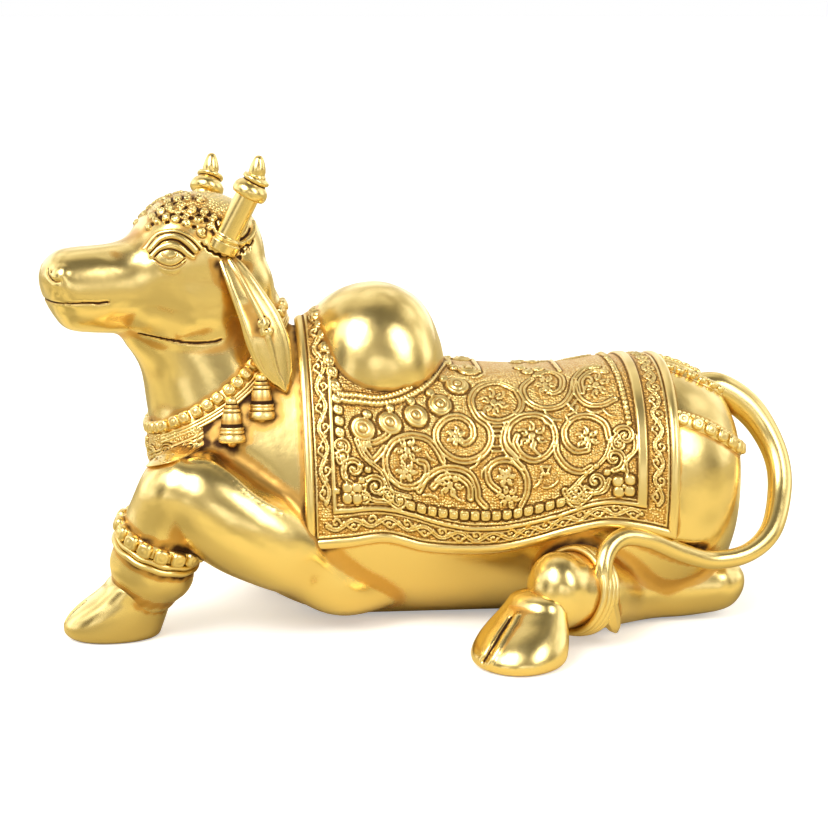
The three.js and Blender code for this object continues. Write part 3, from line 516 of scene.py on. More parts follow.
def hoop(name, loops):
    """A closed skin through rings that come round to the first again."""
    loops = np.concatenate([loops, loops[:1]], 0)
    piece = sheet(name, np.concatenate([loops, loops[:, :1]], 1))
    weld(piece)
    return piece


def joined(name, pieces):
    choose(*pieces)
    bpy.ops.object.join()
    piece = bpy.context.object
    piece.name = piece.data.name = name
    return piece


def apply(piece, kind, **settings):
    """A modifier with these settings, applied."""
    choose(piece)
    modifier = piece.modifiers.new(kind.title(), kind)
    for key, value in settings.items():
        setattr(modifier, key, value)
    bpy.ops.object.modifier_apply(modifier=modifier.name)


def cast_as_one(piece, voxel, passes):
    """Overlapping forms melted into one even skin, then rubbed smooth."""
    apply(piece, "REMESH", mode="VOXEL", voxel_size=voxel)
    apply(piece, "SMOOTH", factor=0.5, iterations=passes)


def read_points(piece):
    points = np.empty(len(piece.data.vertices) * 3, np.float32)
    piece.data.vertices.foreach_get("co", points)
    return points.reshape(-1, 3).astype(float) / MM - SHIFT


def read_normals(piece):
    normals = np.empty(len(piece.data.vertices) * 3, np.float32)
    piece.data.vertex_normals.foreach_get("vector", normals)
    return normals.reshape(-1, 3).astype(float)


def write_points(piece, points):
    """The piece's points moved to places of the drawing, none below the ground."""
    points[:, 2] = np.maximum(points[:, 2], 0)
    piece.data.vertices.foreach_set("co", place(points).ravel())
    piece.data.update()


# Relief, with its cross sections in shares of a line's half width

TAPER_FALL = 0.4  # how much lower a tapered ridge ends
FADE = (0.15, 1.6)  # a groove's depth at its very end and the length over which it deepens
TENDRIL_REACH = 1.8
TENDRIL_EDGE = (1.1, 0.25)
TENDRIL_DISH = (0.8, 0.6)
TENDRIL_CUT = (1.38, 0.32, 0.42)  # place, width and depth of the cut line beside it
ROPE_STRANDS = (0.62, 0.38)
STUD_EDGE = (1.04, 0.34, 0.6)
STUD_RING = (0.52, 0.17)
STUD_MOAT = (1.18, 0.16, 0.3)
STUD_REACH = 1.45
STUD_ROOM = 1.05  # what stands within it gives way to the stud
STUD_ROOM_KEPT = 0.2
CUT_FREE_HEIGHT = 0.35  # relief higher than this isn't cut


def bulge(value, centre, width):
    """1 where a value is at the centre, falling to 0 a width away."""
    return np.clip(1 - ((value - centre) / width) ** 2, 0, 1)


class Relief:
    """Heights over places, flat or on a skin, gathered from raised and cut lines in millimetres."""

    def __init__(self, places):
        self.places = places
        self.raised = np.zeros(len(places))
        self.cut = np.zeros(len(places))
        self.ground = np.zeros(len(places))

    def near(self, line, reach):
        """The places within reach of a line, with their distance from it and along it."""
        line = np.asarray(line, float)
        low, high = line.min(0) - reach, line.max(0) + reach
        index = np.flatnonzero(((self.places > low) & (self.places < high)).all(1))
        spots = self.places[index]
        best = np.full(len(index), np.inf)
        along = np.zeros(len(index))
        run = 0.0
        for a, b in zip(line[:-1], line[1:]):
            step = b - a
            length = np.linalg.norm(step)
            if length < 1e-9:
                continue
            t = np.clip((spots - a) @ step / length**2, 0, 1)
            distance = np.linalg.norm(spots - a - t[:, None] * step, axis=1)
            closer = distance < best
            best[closer] = distance[closer]
            along[closer] = (run + t * length)[closer]
            run += length
        keep = best < reach
        return index[keep], best[keep], along[keep], run

    def ridge(self, line, half, height, taper=0.0):
        """A rounded ridge, thinner towards its end where it tapers."""
        index, distance, along, run = self.near(line, half)
        width = half * (1 - taper * along / run)
        fall = 1 - TAPER_FALL * taper * along / run
        self.raise_to(index, height * np.sqrt(bulge(distance, 0, width)) * fall)

    def raise_to(self, index, height):
        self.raised[index] = np.maximum(self.raised[index], height)

    def cut_to(self, index, depth):
        self.cut[index] = np.maximum(self.cut[index], depth)

    def groove(self, line, half, depth):
        """A rounded groove that fades at its ends."""
        index, distance, along, run = self.near(line, half)
        start, length = FADE
        fade = soft_step((np.minimum(along, run - along) + start * half) / (length * half))
        self.cut_to(index, depth * fade * bulge(distance, 0, half) ** 2)

    def swell(self, line, reach, height, shape=2.0):
        """A soft swelling along a line, added to what is there."""
        index, distance, _, _ = self.near(line, reach)
        self.raised[index] += height * bulge(distance, 0, reach) ** shape

    def tendril(self, line, half, height, taper=0.5):
        """A carved strip: raised edges, a dished middle and a cut line on both sides."""
        index, distance, along, run = self.near(line, half * TENDRIL_REACH)
        share = distance / (half * (1 - taper * along / run))
        edge, rounding = TENDRIL_EDGE
        dish, dish_width = TENDRIL_DISH
        body = np.clip((edge - share) / rounding, 0, 1) * (1 - dish * bulge(share, 0, dish_width))
        self.raise_to(index, height * body)
        place_of_cut, width, depth = TENDRIL_CUT
        self.cut_to(index, height * depth * bulge(share, place_of_cut, width))

    def rope(self, line, half, height, pitch):
        """A twisted cord: a ridge with slanted cuts."""
        index, distance, along, _ = self.near(line, half)
        strand = 0.5 + 0.5 * np.cos(TURN * along / pitch)
        low, more = ROPE_STRANDS
        self.raise_to(index, height * np.sqrt(bulge(distance, 0, half)) * (low + more * strand))

    def stud(self, centre, radius, height, squareness=2.0, turn=0.0, ring=0.0):
        """A raised stud, round or square, with a cut ring and a dot where it has one."""
        centre = np.asarray(centre, float)
        index = np.flatnonzero((np.abs(self.places - centre) < radius * STUD_REACH).all(1))
        offset = self.places[index] - centre
        if offset.shape[1] == 2:
            c, s = math.cos(turn), math.sin(turn)
            offset = offset @ np.array([(c, -s), (s, c)])
        share = (np.abs(offset / radius) ** squareness).sum(1) ** (1 / squareness)
        edge, rounding, shape = STUD_EDGE
        rise = height * np.clip((edge - share) / rounding, 0, 1) ** shape
        if ring > 0:
            rise -= ring * height * bulge(share, *STUD_RING)
        there = self.raised[index]
        self.raised[index] = np.where(share < STUD_ROOM, np.maximum(rise, there * STUD_ROOM_KEPT), there)
        moat, width, depth = STUD_MOAT
        self.cut_to(index, depth * height * bulge(share, moat, width))

    def height(self):
        return self.raised - self.cut * np.clip(1 - self.raised / CUT_FREE_HEIGHT, 0, 1)


def studs_along(relief, line, pitch, radius, height, squareness=3.0, ring=0.35):
    """Studs set along a line of a flat relief, turned with it."""
    line = np.asarray(line, float)
    run = np.linalg.norm(np.diff(line, axis=0), axis=1).sum()
    count = max(int(round(run / pitch)), 1)
    spots = curve(line, count + 1)
    ways = np.gradient(spots, axis=0)
    for spot, way in zip(spots, ways):
        relief.stud(spot, radius, height, squareness, math.atan2(way[1], way[0]), ring)


def spiral_line(centre, radius, turns, start, handed, inner=0.2, count=46, tightening=0.85):
    """A spiral from its outer end inwards."""
    t = np.linspace(0, 1, count)
    reach = radius * (1 - (1 - inner) * t**tightening)
    angle = start + handed * turns * TURN * t
    return np.stack([centre[0] + reach * np.cos(angle), centre[1] + reach * np.sin(angle)], -1)


def arc_line(centre, radius, start, sweep, count=18):
    angle = np.linspace(start, start + sweep, count)
    return np.stack([centre[0] + radius * np.cos(angle), centre[1] + radius * np.sin(angle)], -1)


# Finish

WEAR_PASSES = (2, 60)  # fewest and most passes of softening
WEAR_SOFTENING = 0.6


def edge_ends(piece):
    """The first and the second point of every edge."""
    edges = np.empty(len(piece.data.edges) * 2, np.int32)
    piece.data.edges.foreach_get("vertices", edges)
    return edges.reshape(-1, 2).T


def neighbour_mean(points, a, b):
    """The mean of each point's neighbours along the edges from a to b."""
    count = len(points)
    shared = np.maximum(np.bincount(a, minlength=count) + np.bincount(b, minlength=count), 1)
    total = [np.bincount(a, axis[b], count) + np.bincount(b, axis[a], count) for axis in points.T]
    return np.stack(total, -1) / shared[:, None]


def wear_of(piece, reach):
    """How hollow each point lies against its neighbourhood, in millimetres; ridges are below 0."""
    points, normals = read_points(piece), read_normals(piece)
    a, b = edge_ends(piece)
    spacing = np.linalg.norm(points[a] - points[b], axis=1)
    near = spacing < reach * 2
    a, b = a[near], b[near]
    passes = int(np.clip(2 * (reach / np.median(spacing)) ** 2, *WEAR_PASSES))
    soft = points
    for _ in range(passes):
        soft = (1 - WEAR_SOFTENING) * soft + WEAR_SOFTENING * neighbour_mean(soft, a, b)
    return ((soft - points) * normals).sum(1)


def store(piece, name, values):
    attribute = piece.data.attributes.get(name) or piece.data.attributes.new(name, "FLOAT", "POINT")
    attribute.data.foreach_set("value", np.asarray(values, np.float32))


def read_values(piece, name):
    values = np.empty(len(piece.data.vertices), np.float32)
    piece.data.attributes[name].data.foreach_get("value", values)
    return values


def hand_over(context, piece, kind, reach=2.0):
    """The finished piece takes its kind of brass and stands for the solid."""
    if "hollow" not in piece.data.attributes:
        store(piece, "hollow", wear_of(piece, reach))
    if "seam" in piece.data.attributes:
        store(piece, "hollow", read_values(piece, "hollow") + read_values(piece, "seam"))
    choose(piece)
    bpy.ops.object.shade_smooth()
    piece.data.materials.clear()
    piece.data.materials.append(brass(context, kind))
    if "ground" not in piece.data.attributes:
        store(piece, "ground", np.zeros(len(piece.data.vertices)))
    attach(piece, "root")
    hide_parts(NODE)


# Forms of the body


def form(name, table, ends, steps, section, sides=72):
    """A skin through a table's rows, where section turns the rows into centre, side, up and sizes."""
    rows = smooth(table, np.linspace(0, len(table) - 1, steps))
    return skin(name, ends[0], rings(*section(rows), sides=sides), ends[1])


def upright_section(x, low, widest, high, half, above, below):
    """Upright ovals over the length of the body."""
    centre = np.stack([x, 0 * x, widest], -1)
    side = np.tile((0.0, -1, 0), (len(x), 1))
    up = np.tile((0.0, 0, 1), (len(x), 1))
    return centre, side, up, half, high - widest, widest - low, above, below


def trunk_section(rows):
    return upright_section(*rows.T)


def hump_section(rows):
    x, widest, high, half = rows.T
    return upright_section(x, widest - HUMP_DEPTH, widest, high, half, HUMP_ROUNDNESS + 0 * x, 2 + 0 * x)


def neck_section(rows):
    x, y, z, length, half = rows.T
    turn = HEAD_YAW * np.linspace(0, 1, len(x))
    along = np.stack([-np.cos(turn), -np.sin(turn), 0 * turn], -1)
    centre = np.stack([x, y, z], -1)
    roundness = NECK_ROUNDNESS + 0 * x
    return centre, np.cross((0, 0, 1), along), along, half, length, length, roundness, roundness


def head_section(rows):
    forward, low, high, half, roundness = rows.T
    centre = head_point(forward, 0, (low + high) / 2)
    side = np.tile(HEAD_SIDE, (len(rows), 1))
    up = np.tile((0.0, 0, 1), (len(rows), 1))
    rise = (high - low) / 2
    return centre, side, up, half, rise, rise, roundness, roundness


def trunk_form():
    return form("trunk", TRUNK, TRUNK_ENDS, 130, trunk_section, 96)


def neck_form():
    return form("neck", NECK, NECK_ENDS, 50, neck_section)


def head_form(name, table, ends, steps):
    """A form that is drawn in the head's own measures."""
    return form(name, table, [head_point(*end) for end in ends], steps, head_section)


def limb_form(name, rows):
    return skin(name, *tube(rows, 70, 48))


def ball_form(name, centre, radii):
    deselect()
    bpy.ops.mesh.primitive_uv_sphere_add(segments=32, ring_count=20, radius=MM, location=place(centre))
    piece = bpy.context.object
    piece.name = piece.data.name = name
    bpy.ops.object.mode_set(mode="EDIT")
    bpy.ops.transform.resize(value=radii, center_override=place(centre))
    bpy.ops.object.mode_set(mode="OBJECT")
    bpy.ops.object.transform_apply(location=True, rotation=True, scale=True)
    return piece


def necklace_level(x):
    """Height of the necklace over the length of the body."""
    rows = smooth(NECKLACE, np.linspace(0, len(NECKLACE) - 1, 200))
    return np.interp(x, rows[:, 0], rows[:, 2])


def cut_flat(piece, point, normal):
    """Everything beyond a plane cut away, and the cut closed."""
    choose(piece)
    bpy.ops.object.mode_set(mode="EDIT")
    bpy.ops.mesh.select_all(action="SELECT")
    bpy.ops.mesh.bisect(plane_co=place(point), plane_no=normal, use_fill=True, clear_outer=True)
    bpy.ops.object.mode_set(mode="OBJECT")


def refine(piece, wanted):
    """The faces whose every corner is wanted divided in four."""
    choose(piece)
    mesh = piece.data
    bpy.ops.object.mode_set(mode="EDIT")
    bpy.ops.mesh.select_mode(type="VERT")
    bpy.ops.mesh.select_all(action="DESELECT")
    bpy.ops.object.mode_set(mode="OBJECT")
    mesh.vertices.foreach_set("select", np.asarray(wanted, bool))
    bpy.ops.object.mode_set(mode="EDIT")
    bpy.ops.mesh.select_mode(type="VERT")
    bpy.ops.mesh.select_mode(type="FACE")
    bpy.ops.mesh.subdivide(number_cuts=1, smoothness=1.0)
    bpy.ops.object.mode_set(mode="OBJECT")


def soft_step(value):
    """0 below 0 and 1 above 1, with a soft rise between."""
    value = np.clip(value, 0, 1)
    return value * value * (3 - 2 * value)


def sink(points, normals, hidden, depth):
    """Points moved inwards where another piece of the same surface shows."""
    return points - normals * (depth * soft_step(hidden))[:, None]


# What is carved on the hide, in pixels of the photograph

FORELEG_HOLLOW_PX = [(207, 451), (224, 457), (243, 468), (262, 484), (281, 504)]
FORELEG_RIDGE_PX = [(193, 460), (211, 462), (230, 474), (249.5, 491), (268.6, 504.5), (284, 512.5)]
ELBOW_CREASE_PX = [(296, 530), (303, 552), (311, 575), (322, 594)]
THIGH_CREASE_PX = [(668, 545), (690, 548), (712, 546), (732, 540)]
THIGH_FRONT_PX = [(664, 480), (672, 510), (676, 540)]
# Each line with its points, kind, half width, height or depth, and taper
HIDE_LINES = [
    (FORELEG_HOLLOW_PX, 24, "groove", 9.0, 1.6),
    (FORELEG_RIDGE_PX, 30, "ridge", 1.5, 0.45, 0.4),
    (ELBOW_CREASE_PX, 24, "groove", 7.0, 0.5),
    (THIGH_CREASE_PX, 20, "groove", 3.4, 1.3),
    (THIGH_FRONT_PX, 20, "groove", 5.0, 0.5),
]


def carve_hide(piece):
    surface = surface_of(piece)
    points, normals = read_points(piece), read_normals(piece)
    relief = Relief(points)
    for pixels, count, kind, *sizes in HIDE_LINES:
        getattr(relief, kind)(curve(at_pixels(surface, pixels), count), *sizes)
    write_points(piece, points + normals * (relief.raised - relief.cut)[:, None])


# Places of the head that are smoothed further: pixel of the photograph, reach in millimetres
HEAD_EASE = [
    ((167, 312), 12.0), ((134, 322), 11.0), ((132, 345), 11.0), ((157, 334), 8.0), ((145, 366), 10.0),
]
EASE_PASSES = 120
EASE_STEP = 0.8
EASE_PLATEAU = 1.6  # over 1, the middle of the spot is smoothed in full


def ease(piece, spot, reach):
    """Smooths the piece round a spot and round its mirror image in the head."""
    points = read_points(piece)
    a, b = edge_ends(piece)
    both = (spot, mirror_head(spot[None])[0])
    gap = np.minimum(*(np.linalg.norm(points - each, axis=1) for each in both))
    share = EASE_STEP * soft_step(EASE_PLATEAU * (1 - gap / reach))[:, None]
    for _ in range(EASE_PASSES):
        points = points + share * (neighbour_mean(points, a, b) - points)
    write_points(piece, points)


# The head's carving, in pixels of the photograph

EYE_UPPER_PX = [(153.0, 258.0), (160, 251.6), (169.8, 249.0), (179, 251.8), (186.0, 257.8)]
EYE_LOWER_PX = [(153.0, 258.0), (161, 263.8), (171.0, 266.2), (179.5, 263.2), (186.0, 257.8)]
UNDER_LID_PX = [(155.5, 261.5), (163, 267.0), (172, 268.8), (180, 266.0), (186.5, 261.0)]
IRIS_PX = [(162.0, 251.6), (163.8, 256.0), (169.8, 258.6), (175.8, 256.0), (177.4, 251.8)]
LID_PX = [(151.5, 256), (158.5, 248.4), (169.8, 244.6), (179, 246.4), (187, 252.8), (193, 256.6)]
LID_GROOVE_PX = [
    (148.5, 254), (154, 249), (160.6, 242), (169.8, 239.3), (179, 241.1), (187.4, 248.5), (194.8, 255.9),
]
BROW_PX = [(150.5, 249.5), (160, 238.8), (169.8, 235.6), (180, 237.4), (189.3, 243.4), (195.5, 250)]
BROW_GROOVE_PX = [(156, 236.6), (169, 232.9), (180, 234.0), (190.5, 240.2), (201, 251.2)]
OUTER_BROW_PX = [(144, 248.4), (156, 234.6), (169.8, 230.9), (180.5, 231.9), (191.5, 237.6), (202, 248.5)]
MOUTH_PX = [
    (53, 302.6), (66.5, 303.6), (75, 303.6), (86.4, 302.9), (98, 303.6), (105.5, 302.5), (110.5, 302.9),
]
LIP_PX = [(57, 309.5), (66, 311.5), (78, 310)]
NOSTRIL_PX = [(47.9, 266.4), (47.4, 273), (49.9, 278), (54, 281.3), (62.4, 281.3)]
NOSTRIL_PIT_PX = [(49.8, 269), (51.2, 274)]
NOSTRIL_BALL_PX = (60, 272.5)
WHISKER_CURLS_PX = [(56.5, 288.5, 2.0), (60.5, 291.5, 2.2), (57.5, 295.0, 1.8)]
JAW_PX = [(92, 324), (105.5, 321), (126, 320), (148, 321)]
JOWL_LINE_PX = [(137, 332.6), (157.7, 337), (178.8, 341.4), (192.2, 343), (211, 342), (222.8, 339)]
JOWL_PX = [(150, 325), (172, 330), (195, 331), (214, 328)]
CHEEK_PX = [(96, 247), (118, 256), (132, 268)]
# Curls: place and radius, all in pixels
CURL_RINGS_PX = [
    (198.4, 219.8, 4.2), (202.2, 231.6, 4.6), (210.5, 225.3, 3.6), (187, 224, 4.2), (176, 219, 4.0),
    (165, 217, 3.6), (156, 221.5, 3.2), (149, 226, 2.6), (192, 209, 4.2), (181, 206, 4.2),
    (170, 207.5, 3.8), (160, 210.5, 3.2), (151.5, 216, 2.8), (205, 212, 4.2), (213.5, 217, 3.2),
    (199.5, 199.5, 3.6), (188, 197.5, 3.4), (177, 198, 3.0), (167, 201, 2.8),
]
CURL_PITS_PX = [
    (152, 224, 2.0), (160.6, 217.5, 2.2), (173, 214.2, 2.6), (184.5, 207, 2.4), (199, 216, 2.4),
    (191, 217.6, 2.0), (206, 219.5, 2.2), (181.5, 213.6, 1.8), (167, 221.6, 1.8), (194.5, 226.5, 1.8),
    (162, 206, 1.8), (176, 203, 1.8),
]
TEMPLE_CURLS_PX = [(236, 252.4, 2.8), (243, 252.2, 2.6), (249, 249, 2.4), (240, 257.6, 2.2), (231, 263, 3.4)]
# The horn's collar, and the scalloped cloth under it
COLLAR_PX = [
    (212.4, 219.8), (213, 226), (216, 232.5), (222.6, 238.5), (231.9, 243), (241.1, 243.2), (249.4, 238.5),
    (254.2, 231), (253.6, 222),
]
COLLAR_GROOVE_PX = [
    (215.4, 221), (217.5, 228.5), (223.5, 234.6), (231.4, 238.6), (240, 239.6), (247, 235), (250.6, 227),
]
COLLAR_INNER_PX = [
    (218.4, 222), (220.4, 227.5), (225.2, 232), (231.6, 235.6), (239, 236.4), (244.6, 232), (247.6, 225),
]
SCALLOP_PX = [
    (212, 238), (215.5, 241.5), (219.5, 241.4), (222.6, 245.7), (226, 248.2), (229.6, 247.2), (233, 249.6),
    (238, 248.4), (241.5, 249.4), (246.7, 245), (250.5, 245), (254, 239.3),
]
FLAP_PX = [
    (201.3, 241.1), (203.2, 245.4), (206.6, 246.6), (208.7, 250.4), (212.6, 251.4), (215.2, 254),
    (219, 254.2), (222, 257.4), (227, 257.8), (231, 254),
]
# Each line with its kind, half width, and height or depth in millimetres
HEAD_LINES = (
    (LID_PX, "ridge", 0.95, 0.5), (BROW_PX, "ridge", 1.25, 0.7), (OUTER_BROW_PX, "ridge", 0.6, 0.4),
    (EYE_UPPER_PX, "groove", 0.62, 0.62), (EYE_LOWER_PX, "groove", 0.55, 0.5),
    (UNDER_LID_PX, "groove", 0.5, 0.34), (LID_GROOVE_PX, "groove", 0.6, 0.6),
    (BROW_GROOVE_PX, "groove", 0.5, 0.45), (IRIS_PX, "groove", 0.42, 0.3),
    (MOUTH_PX, "groove", 0.75, 0.75), (LIP_PX, "groove", 2.4, 0.3),
    (NOSTRIL_PX, "groove", 0.8, 0.8), (NOSTRIL_PIT_PX, "groove", 1.4, 1.0),
    (JAW_PX, "groove", 6.0, 0.55), (CHEEK_PX, "groove", 6.0, 0.5), (JOWL_LINE_PX, "groove", 0.7, 0.55),
    (COLLAR_PX, "ridge", 0.8, 0.9), (COLLAR_INNER_PX, "ridge", 0.7, 0.7),
    (COLLAR_GROOVE_PX, "groove", 0.6, 0.5), (SCALLOP_PX, "groove", 0.55, 0.7), (FLAP_PX, "groove", 0.7, 0.9),
)
# The balls of the eye and of the nostril: middle pixels, reach and height
HEAD_BALLS = ((EYE_LOWER_PX + EYE_UPPER_PX, 6.4, 0.7), ([NOSTRIL_BALL_PX], 4.2, 0.7))
BALL_SHAPE = 1.5
JOWL_SWELL = (9.0, 0.9)  # reach and height
CURL_RIDGE = (0.62, 0.95)  # half width and height
TEMPLE_GROOVE = (0.55, 0.6)
WHISKER_GROOVE = (0.4, 0.22)
CURL_TURNS = (1.25, 0.12)  # turns, and the share of the radius at which a curl ends
PIT_REACH = 1.5 * PHOTO_SCALE
PIT_DEPTH = 1.1
# The mouth goes on round the muzzle: its middle forward of the pivot, reach, half its sweep, its line
LIPS_MIDDLE = 58
LIPS_REACH = 30
LIPS_SWEEP = 1.15
LIPS_GROOVE = (0.75, 0.8)
# The stippled crown: middle in the head's own measures, reach along each axis
CROWN_PLACE = (10.0, 0.0, 172.0)
CROWN_REACH = (27.0, 24.0, 17.0)


def curl_px(x, y, radius, handed, start):
    turns, inner = CURL_TURNS
    return [tuple(p) for p in spiral_line((x, y), radius, turns, start, handed, inner)]


def carve_head(piece):
    surface = surface_of(piece)
    points, normals = read_points(piece), read_normals(piece)
    relief = Relief(points)

    def both(pixels, count=30):
        near = curve(at_pixels(surface, pixels), count)
        return near, seat(surface, mirror_head(near))

    for pixels, reach, height in HEAD_BALLS:
        middle = at_pixels(surface, [np.mean(pixels, 0)])
        for spot in (middle[0], seat(surface, mirror_head(middle))[0]):
            relief.raised += height * bulge(np.linalg.norm(points - spot, axis=1), 0, reach) ** BALL_SHAPE
    for line in both(JOWL_PX):
        relief.swell(line, *JOWL_SWELL)
    for pixels, kind, half, height in HEAD_LINES:
        for line in both(pixels, 50):
            getattr(relief, kind)(line, half, height)
    for i, (x, y, radius) in enumerate(CURL_RINGS_PX):
        for line in both(curl_px(x, y, radius, 1 if i % 2 else -1, i * 1.1)):
            relief.ridge(line, *CURL_RIDGE)
    for curls, sizes in ((TEMPLE_CURLS_PX, TEMPLE_GROOVE), (WHISKER_CURLS_PX, WHISKER_GROOVE)):
        for x, y, radius in curls:
            for line in both(curl_px(x, y, radius, 1, 2.0), 24):
                relief.groove(line, *sizes)
    for x, y, radius in CURL_PITS_PX:
        for line in both([(x - 0.6, y), (x + 0.6, y)], 4):
            index, distance, _, _ = relief.near(line, radius * PIT_REACH)
            relief.cut_to(index, PIT_DEPTH * bulge(distance, 0, radius * PIT_REACH) ** 2)
    level = at_pixels(surface, MOUTH_PX[:1])[0][2]
    swing = np.linspace(-LIPS_SWEEP, LIPS_SWEEP, 40)
    aims = head_point(LIPS_MIDDLE + LIPS_REACH * np.cos(swing), LIPS_REACH * np.sin(swing), level)
    lips = cast_out([surface], np.broadcast_to(head_point(LIPS_MIDDLE, 0, level), aims.shape), aims)
    relief.groove(lips, *LIPS_GROOVE)
    write_points(piece, points + normals * (relief.raised - relief.cut)[:, None])
    away = np.linalg.norm((points - head_point(*CROWN_PLACE)) / CROWN_REACH, axis=1)
    store(piece, "ground", np.clip((1.1 - away) / 0.2, 0, 1))


# Horns, in the head's own measures: feet and caps, and how upright the finials stand
HORN_FOOT = (8.6, 18, 152)
HORN_CAPS = {-1: (0.3, -22.4, 169.6), 1: (1.7, 22.6, 167.4)}
FINIAL_LEAN = 0.35
FINIAL_RISE = 0.8


def horn_places(handed):
    """Foot and cap of a horn, and the ways of its shaft and of its finial."""
    forward, sideways, up = HORN_FOOT
    foot = head_point(forward, handed * sideways, up)
    cap = head_point(*HORN_CAPS[handed])
    lean = unit(cap - foot)
    return foot, cap, lean, unit(lean * FINIAL_LEAN + np.array([0, 0, FINIAL_RISE]))


def turned(name, profile, foot, way, sides=32):
    """A solid of revolution, drawn up from its foot ring by ring by extruding and scaling."""
    way = Vector(way).normalized()
    turn = way.to_track_quat("Z", "Y").to_euler()
    radius, height = profile[0]
    deselect()
    start = Vector(place(foot)) + way * height * MM
    bpy.ops.mesh.primitive_circle_add(
        vertices=sides, radius=radius * MM, fill_type="NGON", location=start, rotation=turn)
    piece = bpy.context.object
    piece.name = piece.data.name = name
    bpy.ops.object.mode_set(mode="EDIT")
    at = start
    for next_radius, next_height in profile[1:]:
        step = way * (next_height - height) * MM
        bpy.ops.mesh.extrude_region_move(TRANSFORM_OT_translate={"value": step})
        at = at + step
        bpy.ops.transform.resize(value=(next_radius / radius,) * 3, center_override=at)
        radius, height = next_radius, next_height
    bpy.ops.mesh.select_all(action="SELECT")
    bpy.ops.mesh.normals_make_consistent(inside=False)
    bpy.ops.object.mode_set(mode="OBJECT")
    bpy.ops.object.transform_apply(location=True, rotation=True, scale=True)
    return piece


def rounded(profile, steps):
    """More rings of a turned profile, on a smooth line through its own."""
    return [tuple(row) for row in smooth(profile, np.linspace(0, len(profile) - 1, steps))]


def scaled(profile, radius, height):
    """A profile drawn in shares, at its size in millimetres."""
    return [(share * radius, level * height) for share, level in profile]


# Copies of small pieces


def copies(name, model, matrices):
    """Copies of one small model, each with its own mesh, joined into one piece."""
    made = []
    for matrix in matrices:
        copy = model.copy()
        copy.data = model.data.copy()
        bpy.context.collection.objects.link(copy)
        copy.matrix_world = matrix
        made.append(copy)
    bpy.data.objects.remove(model)
    whole = joined(name, made)
    bpy.ops.object.transform_apply(location=True, rotation=True, scale=True)
    return whole


# Materials

# Noises over a piece: scale, detail and roughness
CLOUD = (45, 3, 0.55)
SPECK = (900, 4, 0.65)
GRAIN = (1500, 2, 0.55)
RIPPLE = (150, 2, 0.55)
# The stippled ground: its dots' scale and unevenness, and the distances between which a dot deepens
DOTS_SCALE = 950
DOTS_RANDOMNESS = 0.7
DOT_EDGE = (0.2, 0.75)
# What each adds to how hollow a place is, in millimetres
DOT_HOLLOW = 0.055
SPECK_HOLLOW = 0.05
CLOUD_HOLLOW = 0.02
# Hollows between which the brass turns warm, and then dark
WARM_HOLLOWS = (-0.005, 0.075)
DARK_HOLLOWS = (0.06, 0.24)
# What each adds to the roughness
WARM_ROUGHNESS = 0.1
DARK_ROUGHNESS = 0.3
GRAIN_ROUGHNESS = 0.05
# How high each stands in the bump, in shares of its depth
BUMP_DEPTH = 0.4 * MM
CLOUD_BUMP = 0.9
RIPPLE_BUMP = 0.14
GRAIN_BUMP = 0.03
# Kinds of brass: added roughness, darkness of the deep hollows, tarnish all over
BRASSES = {
    "polished_brass": (0.0, 1.0, 0.0),
    "carved_brass": (0.06, 0.72, 0.008),
    "bell_brass": (0.12, 1.0, 0.24),
}


def link(tree, source, target):
    tree.links.new(source, target)


class Signal:
    """A value in a tree of nodes, which is added, subtracted and multiplied as a number is."""

    def __init__(self, tree, output):
        self.tree = tree
        self.output = output

    def maths(self, operation, other, clamp=False):
        node = self.tree.nodes.new("ShaderNodeMath")
        node.operation = operation
        node.use_clamp = clamp
        link(self.tree, self.output, node.inputs[0])
        if isinstance(other, Signal):
            link(self.tree, other.output, node.inputs[1])
        else:
            node.inputs[1].default_value = other
        return Signal(self.tree, node.outputs[0])

    def __add__(self, other):
        return self.maths("ADD", other)

    def __sub__(self, other):
        return self.maths("SUBTRACT", other)

    def __mul__(self, other):
        return self.maths("MULTIPLY", other)

    def spread(self, low, high):
        """0 below low and 1 above high, with a soft rise between."""
        node = self.tree.nodes.new("ShaderNodeMapRange")
        node.interpolation_type = "SMOOTHSTEP"
        link(self.tree, self.output, node.inputs["Value"])
        node.inputs["From Min"].default_value = low
        node.inputs["From Max"].default_value = high
        return Signal(self.tree, node.outputs["Result"])


def colour_mix(tree, factor, first, second):
    """Two colours mixed by a signal."""
    node = tree.nodes.new("ShaderNodeMix")
    node.data_type = "RGBA"
    link(tree, factor.output, node.inputs["Factor"])
    link(tree, first, node.inputs[6])
    link(tree, second, node.inputs[7])
    return node.outputs[2]


def plain_colour(tree, value):
    node = tree.nodes.new("ShaderNodeRGB")
    node.outputs[0].default_value = value
    return node.outputs[0]


def noise(tree, place_output, scale, detail, roughness=0.55):
    node = tree.nodes.new("ShaderNodeTexNoise")
    link(tree, place_output, node.inputs["Vector"])
    node.inputs["Scale"].default_value = scale
    node.inputs["Detail"].default_value = detail
    node.inputs["Roughness"].default_value = roughness
    return Signal(tree, node.outputs["Fac"])


# Sockets of the wear group: name, kind and default where it has one
WEAR_GIVEN = [
    ("Bright", "Color"), ("Warm", "Color"), ("Patina", "Color"), ("Hollow", "Float"), ("Ground", "Float"),
    ("Darkness", "Float"), ("Polish", "Float"), ("Tarnish", "Float"), ("Place", "Vector"),
]
WEAR_RESULT = [("Color", "Color"), ("Roughness", "Float"), ("Height", "Float")]


